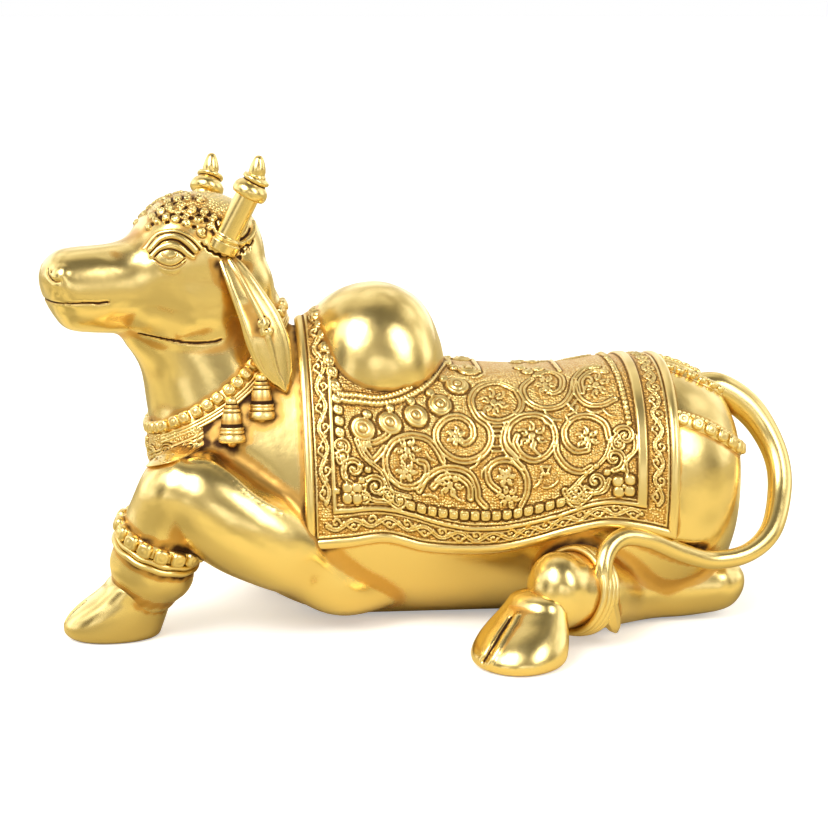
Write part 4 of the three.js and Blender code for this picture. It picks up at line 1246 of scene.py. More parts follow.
def wear_group():
    """Brass that is bright on its ridges, warm in its soft hollows and dark in its deep ones, and dark too in
    the painted shade that the seams add to its hollow.
    """
    name = "brass_wear"
    if name in bpy.data.node_groups:
        return bpy.data.node_groups[name]
    group = bpy.data.node_groups.new(name, "ShaderNodeTree")
    for way, sockets in (("INPUT", WEAR_GIVEN), ("OUTPUT", WEAR_RESULT)):
        for key, kind in sockets:
            group.interface.new_socket(name=key, in_out=way, socket_type="NodeSocket" + kind)
    given = group.nodes.new("NodeGroupInput").outputs
    result = group.nodes.new("NodeGroupOutput").inputs
    cloud, speck, grain, ripple = (
        noise(group, given["Place"], *each) for each in (CLOUD, SPECK, GRAIN, RIPPLE))
    dots = group.nodes.new("ShaderNodeTexVoronoi")
    link(group, given["Place"], dots.inputs["Vector"])
    dots.inputs["Scale"].default_value = DOTS_SCALE
    dots.inputs["Randomness"].default_value = DOTS_RANDOMNESS
    hollow, ground, darkness, polish, tarnish = (
        Signal(group, given[key]) for key in ("Hollow", "Ground", "Darkness", "Polish", "Tarnish"))
    pit = ground * Signal(group, dots.outputs["Distance"]).spread(*DOT_EDGE)
    hollow = hollow + pit * DOT_HOLLOW + (speck - 0.5) * SPECK_HOLLOW + tarnish
    warm_mask = (hollow + cloud * CLOUD_HOLLOW).spread(*WARM_HOLLOWS)
    # The hollow holds the patina of hollows and seams and also painted shade beside other pieces; both darken
    # through this mask
    dark_mask = hollow.spread(*DARK_HOLLOWS) * darkness
    colour = colour_mix(group, warm_mask, given["Bright"], given["Warm"])
    link(group, colour_mix(group, dark_mask, colour, given["Patina"]), result["Color"])
    rough = polish + warm_mask * WARM_ROUGHNESS + dark_mask * DARK_ROUGHNESS
    rough = rough.maths("ADD", grain * GRAIN_ROUGHNESS, clamp=True)
    link(group, rough.output, result["Roughness"])
    height = pit * -1.0 + cloud * CLOUD_BUMP + ripple * RIPPLE_BUMP + grain * GRAIN_BUMP
    link(group, height.output, result["Height"])
    return group


def brass(context, name):
    """One of the kinds of brass, in the colours of the finish."""
    if name in bpy.data.materials:
        return bpy.data.materials[name]
    finish = context.scene.nandi_finish
    rougher, darkness, tarnish = BRASSES[name]
    material = bpy.data.materials.new(name)
    material.use_nodes = True
    tree = material.node_tree
    shader = tree.nodes["Principled BSDF"]
    wear = tree.nodes.new("ShaderNodeGroup")
    wear.node_tree = wear_group()
    settings = {
        "Bright": (*finish.bright, 1), "Warm": (*finish.warm, 1), "Patina": (*finish.patina, 1),
        "Polish": finish.polish + rougher, "Darkness": darkness, "Tarnish": tarnish,
    }
    for key, value in settings.items():
        wear.inputs[key].default_value = value
    for key in ("Hollow", "Ground"):
        read = tree.nodes.new("ShaderNodeAttribute")
        read.attribute_name = key.lower()
        link(tree, read.outputs["Fac"], wear.inputs[key])
    where = tree.nodes.new("ShaderNodeTexCoord")
    link(tree, where.outputs["Object"], wear.inputs["Place"])
    link(tree, wear.outputs["Color"], shader.inputs["Base Color"])
    link(tree, wear.outputs["Roughness"], shader.inputs["Roughness"])
    shader.inputs["Metallic"].default_value = 1.0
    bump = tree.nodes.new("ShaderNodeBump")
    bump.inputs["Distance"].default_value = BUMP_DEPTH
    link(tree, wear.outputs["Height"], bump.inputs["Height"])
    link(tree, bump.outputs["Normal"], shader.inputs["Normal"])
    return material


# Sizes and colours that a user would change


def length(name, description, millimetres):
    return bpy.props.FloatProperty(
        name=name, description=description, default=millimetres * MM, min=0, precision=5,
        subtype="DISTANCE", unit="LENGTH")


def share(name, description, value):
    return bpy.props.FloatProperty(
        name=name, description=description, default=value, min=0, max=1, subtype="FACTOR")


def watts(name, description, value):
    return bpy.props.FloatProperty(
        name=name, description=description, default=value, min=0, subtype="POWER", unit="POWER")


def colour(name, description, value):
    return bpy.props.FloatVectorProperty(
        name=name, description=description, default=value, size=3, min=0, max=1, subtype="COLOR")


def in_millimetres(group):
    """The lengths of a group of sizes, in the drawing's millimetres."""
    return SimpleNamespace(**{key: getattr(group, key) / MM for key in type(group).__annotations__})


class NandiBody(bpy.types.PropertyGroup):
    hide_voxel: length("Hide fineness", "Size of the hide's faces", 1.35)
    head_voxel: length("Head fineness", "Size of the head's faces", 0.68)
    hoof_voxel: length("Hoof fineness", "Size of the hooves' faces", 0.7)
    cleft_width: length("Hoof cleft", "Width of the hooves' cleft", 3.0)
    ear_thickness: length("Ear thickness", "Thickness of the ears", 3.4)
    horn_radius: length("Horn radius", "Radius of the horns' bare shaft", 4.9)
    cap_radius: length("Horn cap radius", "Radius of the horns' caps", 6.8)
    cap_length: length("Horn cap length", "Length of the horns' caps", 8.6)
    finial_radius: length("Finial radius", "Radius of the horns' finials", 3.5)
    finial_length: length("Finial length", "Length of the horns' finials", 9.0)


class NandiOrnaments(bpy.types.PropertyGroup):
    cloth_thickness: length("Cloth thickness", "How far the cloth stands off the hide", 1.8)
    cloth_step: length("Cloth fineness", "Most size of the near cloth's faces", 0.4005)
    rim_height: length("Rim height", "Height of the cloth's rolled rim", 1.3)
    line_height: length("Line height", "Height of the cloth's carved lines", 0.68)
    bead_size: length("Bead size", "Width of the large square beads down the cloth's front", 4.3)
    bead_height: length("Bead height", "Height of the cloth's square beads", 1.5)
    disc_radius: length("Disc radius", "Radius of the discs round the hump", 4.4)
    disc_height: length("Disc height", "Height of the discs round the hump", 1.6)
    cord_radius: length("Cord radius", "Radius of the anklets' cords", 1.3)
    bell_radius: length("Bell radius", "Radius of the bells' lip", 5.3)
    bell_length: length("Bell length", "Length of the bells", 19.0)
    strap_width: length("Strap width", "Width of the crupper's straps", 6.0)


class NandiFinish(bpy.types.PropertyGroup):
    bright: colour("Bright brass", "Brass of the polished faces", (0.85, 0.657, 0.272))
    warm: colour("Warm brass", "Brass of the soft hollows", (0.66, 0.38, 0.1))
    # The patina colour also paints the shade laid beside other pieces in the seams
    patina: colour("Patina", "Darkened brass of the deep hollows", (0.06, 0.028, 0.014))
    polish: share("Polish", "Roughness of the polished faces", 0.21)


class NandiStage(bpy.types.PropertyGroup):
    floor: colour("Floor", "Colour of the floor", (0.95, 0.95, 0.94))
    # The floor's colour in the brass's reflections only, dimmer and warmer than the floor: painted shade
    painted_floor_reflection: colour("Floor's reflection", "Colour of the floor as the brass reflects it", (0.6, 0.53, 0.31))
    floor_glow: share("Floor glow", "Light that the floor gives to the camera alone", 0.36)
    key_power: watts("Key light", "Power of the large light", 4.0)
    fill_power: watts("Fill light", "Power of the second light", 2.0)
    room_light: bpy.props.FloatProperty(
        name="Room light", description="Brightness of the room that the brass reflects", default=1.06, min=0)


# Passes of smoothing of the melted skins
HIDE_PASSES = 24
HEAD_PASSES = 60
HOOF_PASSES = 26
# Planes that cut the hide off inside the head, and the head off inside the hide: a point and the way out
HIDE_TOP_CUT = ((-80, 0, 133), (-0.45, 0, 0.9))
HEAD_REAR_CUT = ((-30, 0, 60), (1, 0, 0))
HEAD_LOW_CUT = ((-80, 0, 82), (0.6, 0, -0.8))
# Above the necklace the hide lies under the head's skin, and below it the head's under the hide's
NECK_SINK = 0.7
NECK_SINK_OVER = 1.5
HIDE_NECK_REAR = -40
HIDE_NECK_HALF = 38
HEAD_NECK_FRONT = -108
HEAD_NECK_TOP = 124
WEAR_REACH = 2.0
FINE_WEAR_REACH = 1.2
HIDE_WEAR_MOST = 0.07  # the hide's own folds stay bright
# Where the head's faces are divided, in pixels of the photograph, and how far round, in millimetres
FINE_FACES_PX = [(170, 250), (205, 232)]
FINE_FACES_REACH = 14


class NANDI_OT_hide(bpy.types.Operator):
    """Body, hump and folded legs, melted into one skin and carved"""

    bl_idname = "nandi.hide"
    bl_label = "Body and legs"
    bl_options = {"REGISTER", "UNDO"}

    def execute(self, context):
        sizes = in_millimetres(context.scene.nandi_body)
        hump = form("hump", HUMP, HUMP_ENDS, 50, hump_section)
        forms = [trunk_form(), hump, neck_form(), ball_form("fetlock", *FETLOCK)]
        forms += [limb_form(name, rows) for name, rows in LIMBS.items()]
        piece = joined("hide", forms)
        cast_as_one(piece, sizes.hide_voxel * MM, HIDE_PASSES)
        cut_flat(piece, *HIDE_TOP_CUT)
        points, normals = read_points(piece), read_normals(piece)
        above = (points[:, 2] - necklace_level(points[:, 0])) / NECK_SINK_OVER
        neck = (points[:, 0] < HIDE_NECK_REAR) & (np.abs(points[:, 1]) < HIDE_NECK_HALF)
        write_points(piece, sink(points, normals, np.where(neck, above, 0), NECK_SINK))
        carve_hide(piece)
        store(piece, "hollow", np.minimum(wear_of(piece, WEAR_REACH), HIDE_WEAR_MOST))
        hand_over(context, piece, "polished_brass")
        return {"FINISHED"}


class NANDI_OT_head(bpy.types.Operator):
    """Head and neck above the necklace, with eyes, brows, mouth, nostrils and curls"""

    bl_idname = "nandi.head"
    bl_label = "Head and neck"
    bl_options = {"REGISTER", "UNDO"}

    def execute(self, context):
        sizes = in_millimetres(context.scene.nandi_body)
        jowl = head_form("jowl", JOWL, JOWL_ENDS, 40)
        skull = head_form("skull", HEAD, HEAD_ENDS, 90)
        piece = joined("head", [skull, neck_form(), trunk_form(), jowl, ball_form("throat", *THROAT)])
        cut_flat(piece, *HEAD_REAR_CUT)
        cast_as_one(piece, sizes.head_voxel * MM, HEAD_PASSES)
        cut_flat(piece, *HEAD_LOW_CUT)
        points, normals = read_points(piece), read_normals(piece)
        below = (necklace_level(points[:, 0]) - points[:, 2]) / NECK_SINK_OVER
        neck = (points[:, 0] > HEAD_NECK_FRONT) & (points[:, 2] < HEAD_NECK_TOP)
        write_points(piece, sink(points, normals, np.where(neck, below, 0), NECK_SINK))
        for pixel, reach in HEAD_EASE:
            ease(piece, at_pixels(surface_of(piece), [pixel])[0], reach)
        points = read_points(piece)
        near = at_pixels(surface_of(piece), FINE_FACES_PX)
        wanted = np.zeros(len(points), bool)
        for spot in (*near, *mirror_head(near)):
            wanted |= np.linalg.norm(points - spot, axis=1) < FINE_FACES_REACH
        refine(piece, wanted)
        carve_head(piece)
        hand_over(context, piece, "polished_brass")
        return {"FINISHED"}


# The ear's carving, along its rings from the root to the tip
EAR_RINGS = 70
EAR_SIDES = 72
EAR_OUTWARD = 0.6  # share of the thickness that stands away from the head
EAR_ROUNDNESS = (1.85, 2)
EAR_RIM = (0.84, 0.45)  # its place in shares of the half width and of what stands out
EAR_RIM_RIDGE = (1.0, 0.24)
EAR_MIDDLE_RIDGES = ((4, 36, 0.8, 0.55, 0.0), (40, 66, 0.8, 0.4, 0.6))  # from, to, half, height, taper
EAR_STUDS = ((36, 0, 2.1, 0.8), (40, 1.6, 1.1, 0.6), (40, -1.4, 1.1, 0.6), (43, 0, 1.0, 0.5))
EAR_STUD_RING = 0.6
EAR_HOLLOW = (24, 46, 4, 3.4, 0.4)  # from, to, how far aside, half width, depth


class NANDI_OT_ears(bpy.types.Operator):
    """Hanging ears, each a leaf with a rolled rim, a ridge down its middle and a few studs"""

    bl_idname = "nandi.ears"
    bl_label = "Ears"
    bl_options = {"REGISTER", "UNDO"}

    def execute(self, context):
        thickness = in_millimetres(context.scene.nandi_body).ear_thickness
        for name, handed in (("ear_left", -1), ("ear_right", 1)):
            forward, sideways, up, half = smooth(EAR, np.linspace(0, len(EAR) - 1, EAR_RINGS)).T
            centre = head_point(forward, handed * sideways, up)
            side = np.tile(HEAD_AHEAD, (EAR_RINGS, 1))
            facing = np.tile(HEAD_SIDE * handed, (EAR_RINGS, 1))
            above, below, round_above, round_below = (
                np.full(EAR_RINGS, value)
                for value in (thickness * EAR_OUTWARD, thickness * (1 - EAR_OUTWARD), *EAR_ROUNDNESS))
            loops = rings(centre, side, facing, half, above, below, round_above, round_below, EAR_SIDES)
            first, last = (head_point(end[0], handed * end[1], end[2]) for end in EAR_ENDS)
            piece = skin(name, first, loops, last)
            points, normals = read_points(piece), read_normals(piece)
            relief = Relief(points)
            out = HEAD_SIDE * handed * thickness * EAR_OUTWARD
            face = centre + out
            rim_aside, rim_out = EAR_RIM
            for edge in (-1, 1):
                rim = centre + side * (edge * rim_aside * half)[:, None] + out * rim_out
                relief.ridge(rim[4:-4], *EAR_RIM_RIDGE)
            for start, end, *ridge in EAR_MIDDLE_RIDGES:
                relief.ridge(face[start:end], *ridge)
            for ring, aside, radius, height in EAR_STUDS:
                relief.stud(face[ring] + side[ring] * aside, radius, height, ring=EAR_STUD_RING)
            start, end, aside, *groove = EAR_HOLLOW
            relief.groove(face[start:end] + side[start:end] * aside, *groove)
            write_points(piece, points + normals * relief.height()[:, None])
            hand_over(context, piece, "polished_brass")
        return {"FINISHED"}


# The horn's profiles. The shaft's rings at its foot: share of its radius, height in millimetres
HORN_FOOT_RINGS = [
    (1.35, -3), (1.38, 0.2), (1.34, 1.0), (1.2, 1.3), (1.16, 1.5), (1.2, 2.0), (1.18, 2.5), (1.06, 2.8),
    (1.0, 3.4), (0.99, 5),
]
# The bulb and the finial: shares of the radius and of the length
HORN_BULB = [
    (0.66, -0.06), (0.9, -0.02), (0.97, 0.06), (1, 0.2), (0.97, 0.36), (0.86, 0.5), (0.72, 0.6),
    (0.64, 0.66), (0.66, 0.7), (0.76, 0.74), (0.78, 0.82), (0.74, 0.9), (0.56, 0.96), (0.2, 0.98),
]
HORN_FINIAL = [
    (0.86, -0.05), (1, 0.03), (1.02, 0.1), (0.9, 0.15), (0.86, 0.2), (0.92, 0.3), (0.86, 0.48),
    (0.72, 0.68), (0.56, 0.84), (0.42, 0.93), (0.22, 0.985), (0.03, 1),
]
FINIAL_PLACE = 0.82  # in shares of the bulb's length


class NANDI_OT_horns(bpy.types.Operator):
    """Horns in stepped rings, each with a bulb and an upright finial for a cap"""

    bl_idname = "nandi.horns"
    bl_label = "Horns"
    bl_options = {"REGISTER", "UNDO"}

    def execute(self, context):
        sizes = in_millimetres(context.scene.nandi_body)
        for name, handed in (("horn_left", -1), ("horn_right", 1)):
            foot, cap, lean, upright = horn_places(handed)
            tall = np.linalg.norm(cap - foot)
            shaft = HORN_FOOT_RINGS + [(0.97, tall * 0.6), (0.93, tall - 1.6), (0.93, tall + 1)]
            shaft = rounded(scaled(shaft, sizes.horn_radius, 1), 60)
            bulb = scaled(HORN_BULB, sizes.cap_radius, sizes.cap_length)
            finial = scaled(HORN_FINIAL, sizes.finial_radius, sizes.finial_length)
            top = cap + lean * sizes.cap_length * FINIAL_PLACE
            parts = [
                turned("shaft", shaft, foot, lean, 48),
                turned("cap", bulb, cap, lean, 48),
                turned("finial", finial, top, upright, 40),
            ]
            hand_over(context, joined(name, parts), "polished_brass")
        return {"FINISHED"}


# The left hind hoof's carving, in pixels of the photograph
HIND_CLEFT_PX = [(511.8, 615.4), (503, 628), (494, 643), (486, 656), (480.8, 664.3), (478.5, 668)]
HIND_FOLD_PX = [(517, 616), (509, 630), (500, 646), (492, 660), (487, 668)]
HIND_CLEFT = (0.4, 1.5)  # half width in shares of the cleft's width, and depth
HIND_FOLD_RIDGE = (1.6, 0.7, 0.3)
CLEFT = (0.6, 2.6)
CLEFT_RINGS = 26
HOOF_RINGS = 36
HOOF_SIDES = 80
HOOF_ROUNDNESS = 2.15
HOOF_LEAN = 1.6  # powers that shape how the hoof's measures change from the sole to the coronet
FRONT_LEAN = 1.5
WIDTH_LEAN = 1.9
SOLE_EDGE = (0.16, 0.2)  # how much the sole's edge is drawn in, and up to what share of the height
HEEL = (0.9, 0.1, 0.5)  # share at the sole, what is added above, and the height where it is reached
HOOF_SWELL = 2.2
SWELL_WIDTH = 0.4
SWELL_SPEED = 1.25  # the swelling ends at this share of the height, turned upside down
CORONET_FRONT = 0.8
HEEL_FALL = 0.6
DOME = np.linspace(0.15, 1.4, 8)  # angles of the rings that close the hoof above
DOME_RISE = 5.0


def hoof_form(name, sole, coronet, forward):
    """A hoof's skin, with its ring centres and how far its front stands before each."""
    t = np.linspace(0, 1, HOOF_RINGS)
    low, top = np.array(sole, float), np.array(coronet, float)

    def between(column, shape):
        return low[column] + (top[column] - low[column]) * t**shape

    centre = np.stack([between(0, HOOF_LEAN), between(1, HOOF_LEAN), between(2, 1)], -1)
    drawn_in, edge_height = SOLE_EDGE
    edge = 1 - drawn_in * np.clip(1 - t / edge_height, 0, 1) ** 2
    heel_low, heel_more, heel_height = HEEL
    heel = heel_low + heel_more * np.sin(math.pi / 2 * np.clip(t / heel_height, 0, 1))
    swell = HOOF_SWELL * np.sin(math.pi * np.clip(SWELL_SPEED * t, 0, 1))
    front = (low[3] + (top[3] * CORONET_FRONT - low[3]) * t**FRONT_LEAN + swell) * edge
    back = (top[3] + (low[3] - top[3]) * HEEL_FALL * (1 - t)) * heel
    half = (between(4, WIDTH_LEAN) + SWELL_WIDTH * swell) * (edge + 0.02)
    centre = np.concatenate([centre, centre[-1] + np.sin(DOME)[:, None] * (0, 0, DOME_RISE)])
    front, back, half = (np.concatenate([each, each[-1] * np.cos(DOME)]) for each in (front, back, half))
    rows = len(centre)
    side = np.tile(np.cross((0, 0, 1), forward), (rows, 1))
    ahead = np.tile(forward, (rows, 1))
    roundness = np.full(rows, HOOF_ROUNDNESS)
    loops = rings(centre, side, ahead, half, front, back, roundness, roundness, HOOF_SIDES)
    return skin(name, centre[0] - (0, 0, 0.1), loops, centre[-1] + (0, 0, 1)), centre, front


class NANDI_OT_hooves(bpy.types.Operator):
    """Cloven hooves"""

    bl_idname = "nandi.hooves"
    bl_label = "Hooves"
    bl_options = {"REGISTER", "UNDO"}

    def execute(self, context):
        sizes = in_millimetres(context.scene.nandi_body)
        for name, (sole, coronet, toe) in HOOVES.items():
            forward = np.array([math.cos(toe), math.sin(toe), 0])
            piece, centre, front = hoof_form(name, sole, coronet, forward)
            cast_as_one(piece, sizes.hoof_voxel * MM, HOOF_PASSES)
            points, normals = read_points(piece), read_normals(piece)
            relief = Relief(points)
            if name == "hind_left":
                surface = surface_of(piece)
                width, depth = HIND_CLEFT
                relief.groove(curve(at_pixels(surface, HIND_CLEFT_PX), 40), sizes.cleft_width * width, depth)
                relief.ridge(curve(at_pixels(surface, HIND_FOLD_PX), 40), *HIND_FOLD_RIDGE)
            else:
                width, depth = CLEFT
                line = centre + forward * (front * 0.98)[:, None]
                relief.groove(line[:CLEFT_RINGS], sizes.cleft_width * width, depth)
            write_points(piece, points + normals * (relief.raised - relief.cut)[:, None])
            hand_over(context, piece, "polished_brass")
        return {"FINISHED"}


TAIL_RINGS = 300
TAIL_SIDES = 48
TUFT_STRANDS = 9
STRAND_HEIGHT = 0.04  # in shares of the tail's radius
STRAND_TWIST = 0.5


class NANDI_OT_tail(bpy.types.Operator):
    """Tail, from the rump round under the hock to its tuft"""

    bl_idname = "nandi.tail"
    bl_label = "Tail"
    bl_options = {"REGISTER", "UNDO"}

    def execute(self, context):
        first, loops, last = tube(TAIL, TAIL_RINGS, TAIL_SIDES)
        places = np.linspace(0, len(TAIL) - 1, TAIL_RINGS)
        tuft = soft_step((places - TUFT_START) / 0.8)
        centre = loops.mean(1, keepdims=True)
        angle = np.linspace(0, TURN, TAIL_SIDES, endpoint=False)
        strands = STRAND_HEIGHT * np.cos(TUFT_STRANDS * angle[None] + STRAND_TWIST * places[:, None])
        swell = 1 + tuft[:, None] * strands
        piece = skin("tail", first, centre + (loops - centre) * swell[..., None], last)
        hand_over(context, piece, "polished_brass")
        return {"FINISHED"}


# The saddle cloth

ROUND_STEPS = 240  # steps round the body along which the cloth's drop is measured
LAST_ANGLE = 0.9 * math.pi
TOP_ANGLE = 0.2  # the hem is sought further down than this
SLOPE_STEPS = (1, 0.02)  # along and round, for the way out of the hide
TRUNK_LEVEL = 50  # the way out points away from this level


def cloth_places(u, v):
    """Places of the hide under the cloth, rows down and columns along, and their outward normals."""
    along = u / CLOTH_WIDTH
    down = np.abs(v) / CLOTH_DROP
    middle = CLOTH_FRONT[0] + (CLOTH_REAR[0] - CLOTH_FRONT[0]) * along
    angles = np.linspace(0, LAST_ANGLE, ROUND_STEPS)
    dense = trunk_point(middle[:, None], angles[None])
    steps = np.linalg.norm(np.diff(dense, axis=1), axis=2)
    run = np.concatenate([np.zeros((len(u), 1)), np.cumsum(steps, axis=1)], 1)
    hem = read_at(HEM, middle)[:, 1]
    angle = np.zeros((len(u), len(v)))
    for i in range(len(u)):
        below = angles > TOP_ANGLE
        end = np.interp(-hem[i], -dense[i, below, 2], angles[below])
        drop = down * np.interp(end, angles, run[i])
        angle[i] = np.interp(drop, run[i], angles) * np.where(v < 0, -1, 1)
    share = down[None]
    front = CLOTH_FRONT[0] * (1 - share) + CLOTH_FRONT[1] * share
    rear = CLOTH_REAR[0] * (1 - share) + CLOTH_REAR[1] * share
    x = front + (rear - front) * along[:, None]
    here = trunk_point(x, angle)
    on, turn = SLOPE_STEPS
    around = trunk_point(x, angle + turn) - trunk_point(x, angle - turn)
    onward = trunk_point(x + on, angle) - trunk_point(x - on, angle)
    normal = unit(np.cross(onward, around))
    outward = here - np.stack([x, 0 * x, np.full_like(x, TRUNK_LEVEL)], -1)
    normal *= np.sign((normal * outward).sum(-1, keepdims=True))
    return here.transpose(1, 0, 2), normal.transpose(1, 0, 2)


def trunk_point(x, angle):
    """The trunk's skin at x, at an angle from its top round towards the bull's left."""
    _, low, widest, high, half, above, below = np.moveaxis(read_at(TRUNK, x), -1, 0)
    rise, across = np.cos(angle), np.sin(angle)
    roundness = np.where(rise >= 0, above, below)
    y = -half * power(across, roundness)
    z = widest + np.where(rise >= 0, high - widest, widest - low) * power(rise, roundness)
    return np.stack([np.broadcast_to(x, y.shape), y, z], -1)


# The cloth's drawing: its places are read in the photograph, in parts of a pixel from a corner of it

DRAWING_CORNER_PX = (280, 260)
DRAWING_SCALE = 3.92  # drawn units in a pixel

# Tendrils of the field, each a smooth band through a few places
TENDRILS = [
    [(925, 512), (855, 482), (785, 495), (748, 545), (770, 612), (815, 650), (829, 700), (802, 758),
     (740, 788), (672, 775), (622, 728), (612, 672), (645, 625), (700, 612), (748, 642), (757, 692),
     (728, 718), (706, 708)],
    [(925, 512), (948, 560), (925, 605), (868, 632), (812, 625), (785, 602)],
    [(985, 468), (950, 505), (972, 555), (1035, 582), (1105, 568), (1143, 520), (1153, 470), (1190, 430),
     (1245, 420)],
    [(1000, 455), (1050, 440), (1100, 458), (1104, 500), (1072, 522), (1045, 508)],
    [(1153, 470), (1163, 525), (1205, 565), (1262, 568), (1312, 545)],
    [(1185, 520), (1180, 472), (1222, 438), (1275, 440)],
    [(938, 768), (893, 715), (898, 652), (945, 614), (1010, 608), (1062, 640), (1080, 700), (1053, 758),
     (1000, 785), (948, 765), (922, 718), (930, 690)],
    [(890, 640), (872, 700), (885, 748), (930, 795), (966, 850), (968, 910), (945, 962)],
    [(1080, 700), (1086, 760), (1125, 812), (1180, 830), (1220, 812)],
    [(1290, 700), (1272, 642), (1215, 612), (1155, 618), (1116, 662), (1122, 715), (1160, 748), (1205, 745)],
    [(640, 790), (612, 738), (570, 698), (505, 688), (442, 715), (412, 775), (425, 842), (475, 885),
     (535, 885), (573, 848), (572, 800), (545, 790)],
    [(545, 905), (572, 858), (625, 822), (690, 815), (745, 840), (772, 890), (778, 935), (806, 968)],
    [(600, 890), (640, 850), (698, 850), (742, 885), (747, 935)],
    [(858, 905), (822, 872), (815, 822), (852, 788), (905, 785), (952, 815)],
    [(330, 700), (365, 715), (410, 695), (440, 665)],
    [(328, 745), (365, 785), (412, 735)],
]
# Flowers within the spirals: place, size and turn
FLOWERS = [
    (838, 558, 60, 0.2), (1040, 490, 44, 1.0), (1240, 490, 56, 0.6), (990, 690, 62, 1.4),
    (1205, 700, 50, 0.3), (500, 745, 56, 0.9), (495, 830, 44, 2.1), (690, 692, 40, 0.5),
    (668, 880, 56, 1.2), (895, 930, 50, 0.1), (885, 850, 40, 1.9), (330, 720, 30, 0.4),
]
# Single leaves: place, length, way and bend
LEAVES = [
    (1070, 612, 70, 0.5, 0.35), (1050, 635, 50, 0.6, 0.3), (1010, 745, 60, 0.9, 0.3),
    (1150, 590, 46, -0.8, 0.3), (765, 795, 60, -0.9, 0.3), (800, 830, 46, -1.1, -0.3),
    (590, 770, 50, 0.8, 0.3), (640, 580, 60, 0.9, 0.3), (1230, 590, 60, 0.1, 0.3), (1290, 600, 50, 0.6, 0.3),
    (1010, 870, 50, -1.0, 0.3), (1060, 880, 60, -0.4, 0.3), (590, 930, 60, 0.2, -0.3),
    (700, 930, 50, 0.7, 0.3), (445, 860, 50, 0.8, 0.3), (1130, 620, 36, 1.0, 0.3), (935, 600, 40, 0.1, 0.4),
    (650, 545, 40, -0.7, 0.3), (770, 455, 40, -0.2, 0.3), (1160, 880, 60, -0.6, 0.3),
]
# Small bars that tie the tendrils together: place, length and way
BARS = [
    (850, 652, 34, 0), (850, 671, 34, 0), (850, 690, 34, 0), (850, 730, 34, 0), (850, 750, 34, 0),
    (1135, 572, 34, 0.7), (1150, 590, 34, 0.7), (1152, 562, 30, -0.9), (1040, 810, 30, 0), (1040, 840, 30, 0),
    (1028, 825, 30, 1.2), (1052, 825, 30, -1.2),
]
# Corner scrolls: place, radius, hand and start
SCROLLS = [
    (290, 818, 46, 1, 2.4), (375, 888, 46, 1, 3.4), (468, 942, 33, -1, 3.4), (238, 730, 30, -1, 0.6),
    (250, 772, 24, 1, 2.2), (1352, 690, 40, 1, 3.6), (1310, 778, 46, -1, 1.6), (1236, 868, 46, -1, 2.6),
    (1155, 930, 36, 1, 0.4), (1160, 905, 44, -1, 3.2), (1330, 720, 30, -1, 4.4), (330, 935, 30, 1, 2.6),
    (420, 925, 30, 1, 3.6), (1200, 912, 26, -1, 2.8),
]
SCROLL_LINKS = [
    [(225, 760), (255, 800), (250, 850), (285, 878)],
    [(335, 870), (330, 915), (370, 940), (430, 950), (470, 975)],
    [(1392, 690), (1392, 745), (1355, 790), (1360, 835)],
    [(1290, 860), (1270, 905), (1215, 920), (1185, 950), (1120, 945)],
    [(300, 705), (330, 770), (400, 830), (440, 905), (510, 930)],
    [(1300, 700), (1270, 780), (1190, 850), (1120, 920)],
]
# Round and oval studs: place and radius
STUDS = [
    (265, 895, 20), (303, 893, 20), (265, 933, 20), (303, 935, 20), (1325, 868, 22), (1372, 862, 22),
    (1328, 908, 22), (1370, 905, 22), (320, 862, 13), (345, 822, 13), (284, 914, 8), (1282, 832, 14),
    (1348, 886, 9), (1240, 808, 12), (318, 805, 10), (1345, 822, 10), (225, 905, 11), (1200, 835, 10),
]
DISCS = [(325, 662), (431, 639), (533, 611), (627, 568), (694, 492), (738, 432)]
# Square beads, one by one in front, and the lines that they follow at the rear and over the hem
FRONT_BEADS = [(173, 296), (181, 345), (191, 395), (203, 440), (213, 495)]
FRONT_SMALL_BEADS = [(222, 545), (228, 588), (232, 632), (235, 676)]
REAR_BEADS = [(1304, 415), (1330, 475), (1352, 560), (1368, 640)]
HEM_BEADS = [(512, 962), (570, 978), (685, 997), (815, 1003), (940, 990), (1022, 972), (1100, 950)]
HUMP_ROPES = [
    [(222, 520), (300, 532), (400, 540), (490, 512), (570, 455), (622, 400)],
    [(238, 545), (310, 556), (410, 562), (505, 535), (590, 475), (642, 410)],
]
# The inner strip over the hem
INNER_HEM = [
    (215, 985), (320, 976), (430, 978), (540, 1003), (640, 1033), (740, 1052), (840, 1052), (960, 1035),
    (1100, 1000), (1200, 965), (1300, 948), (1380, 955), (1420, 962),
]
TOP_ROSETTES = [(970, 440), (940, 425), (1010, 430)]
TOP_RIDGES = [(775, 430), (1088, 430)]


def in_photo(drawn):
    """Drawn places as pixels of the photograph."""
    corner_x, corner_y = DRAWING_CORNER_PX
    return [(corner_x + x / DRAWING_SCALE, corner_y + y / DRAWING_SCALE) for x, y in drawn]


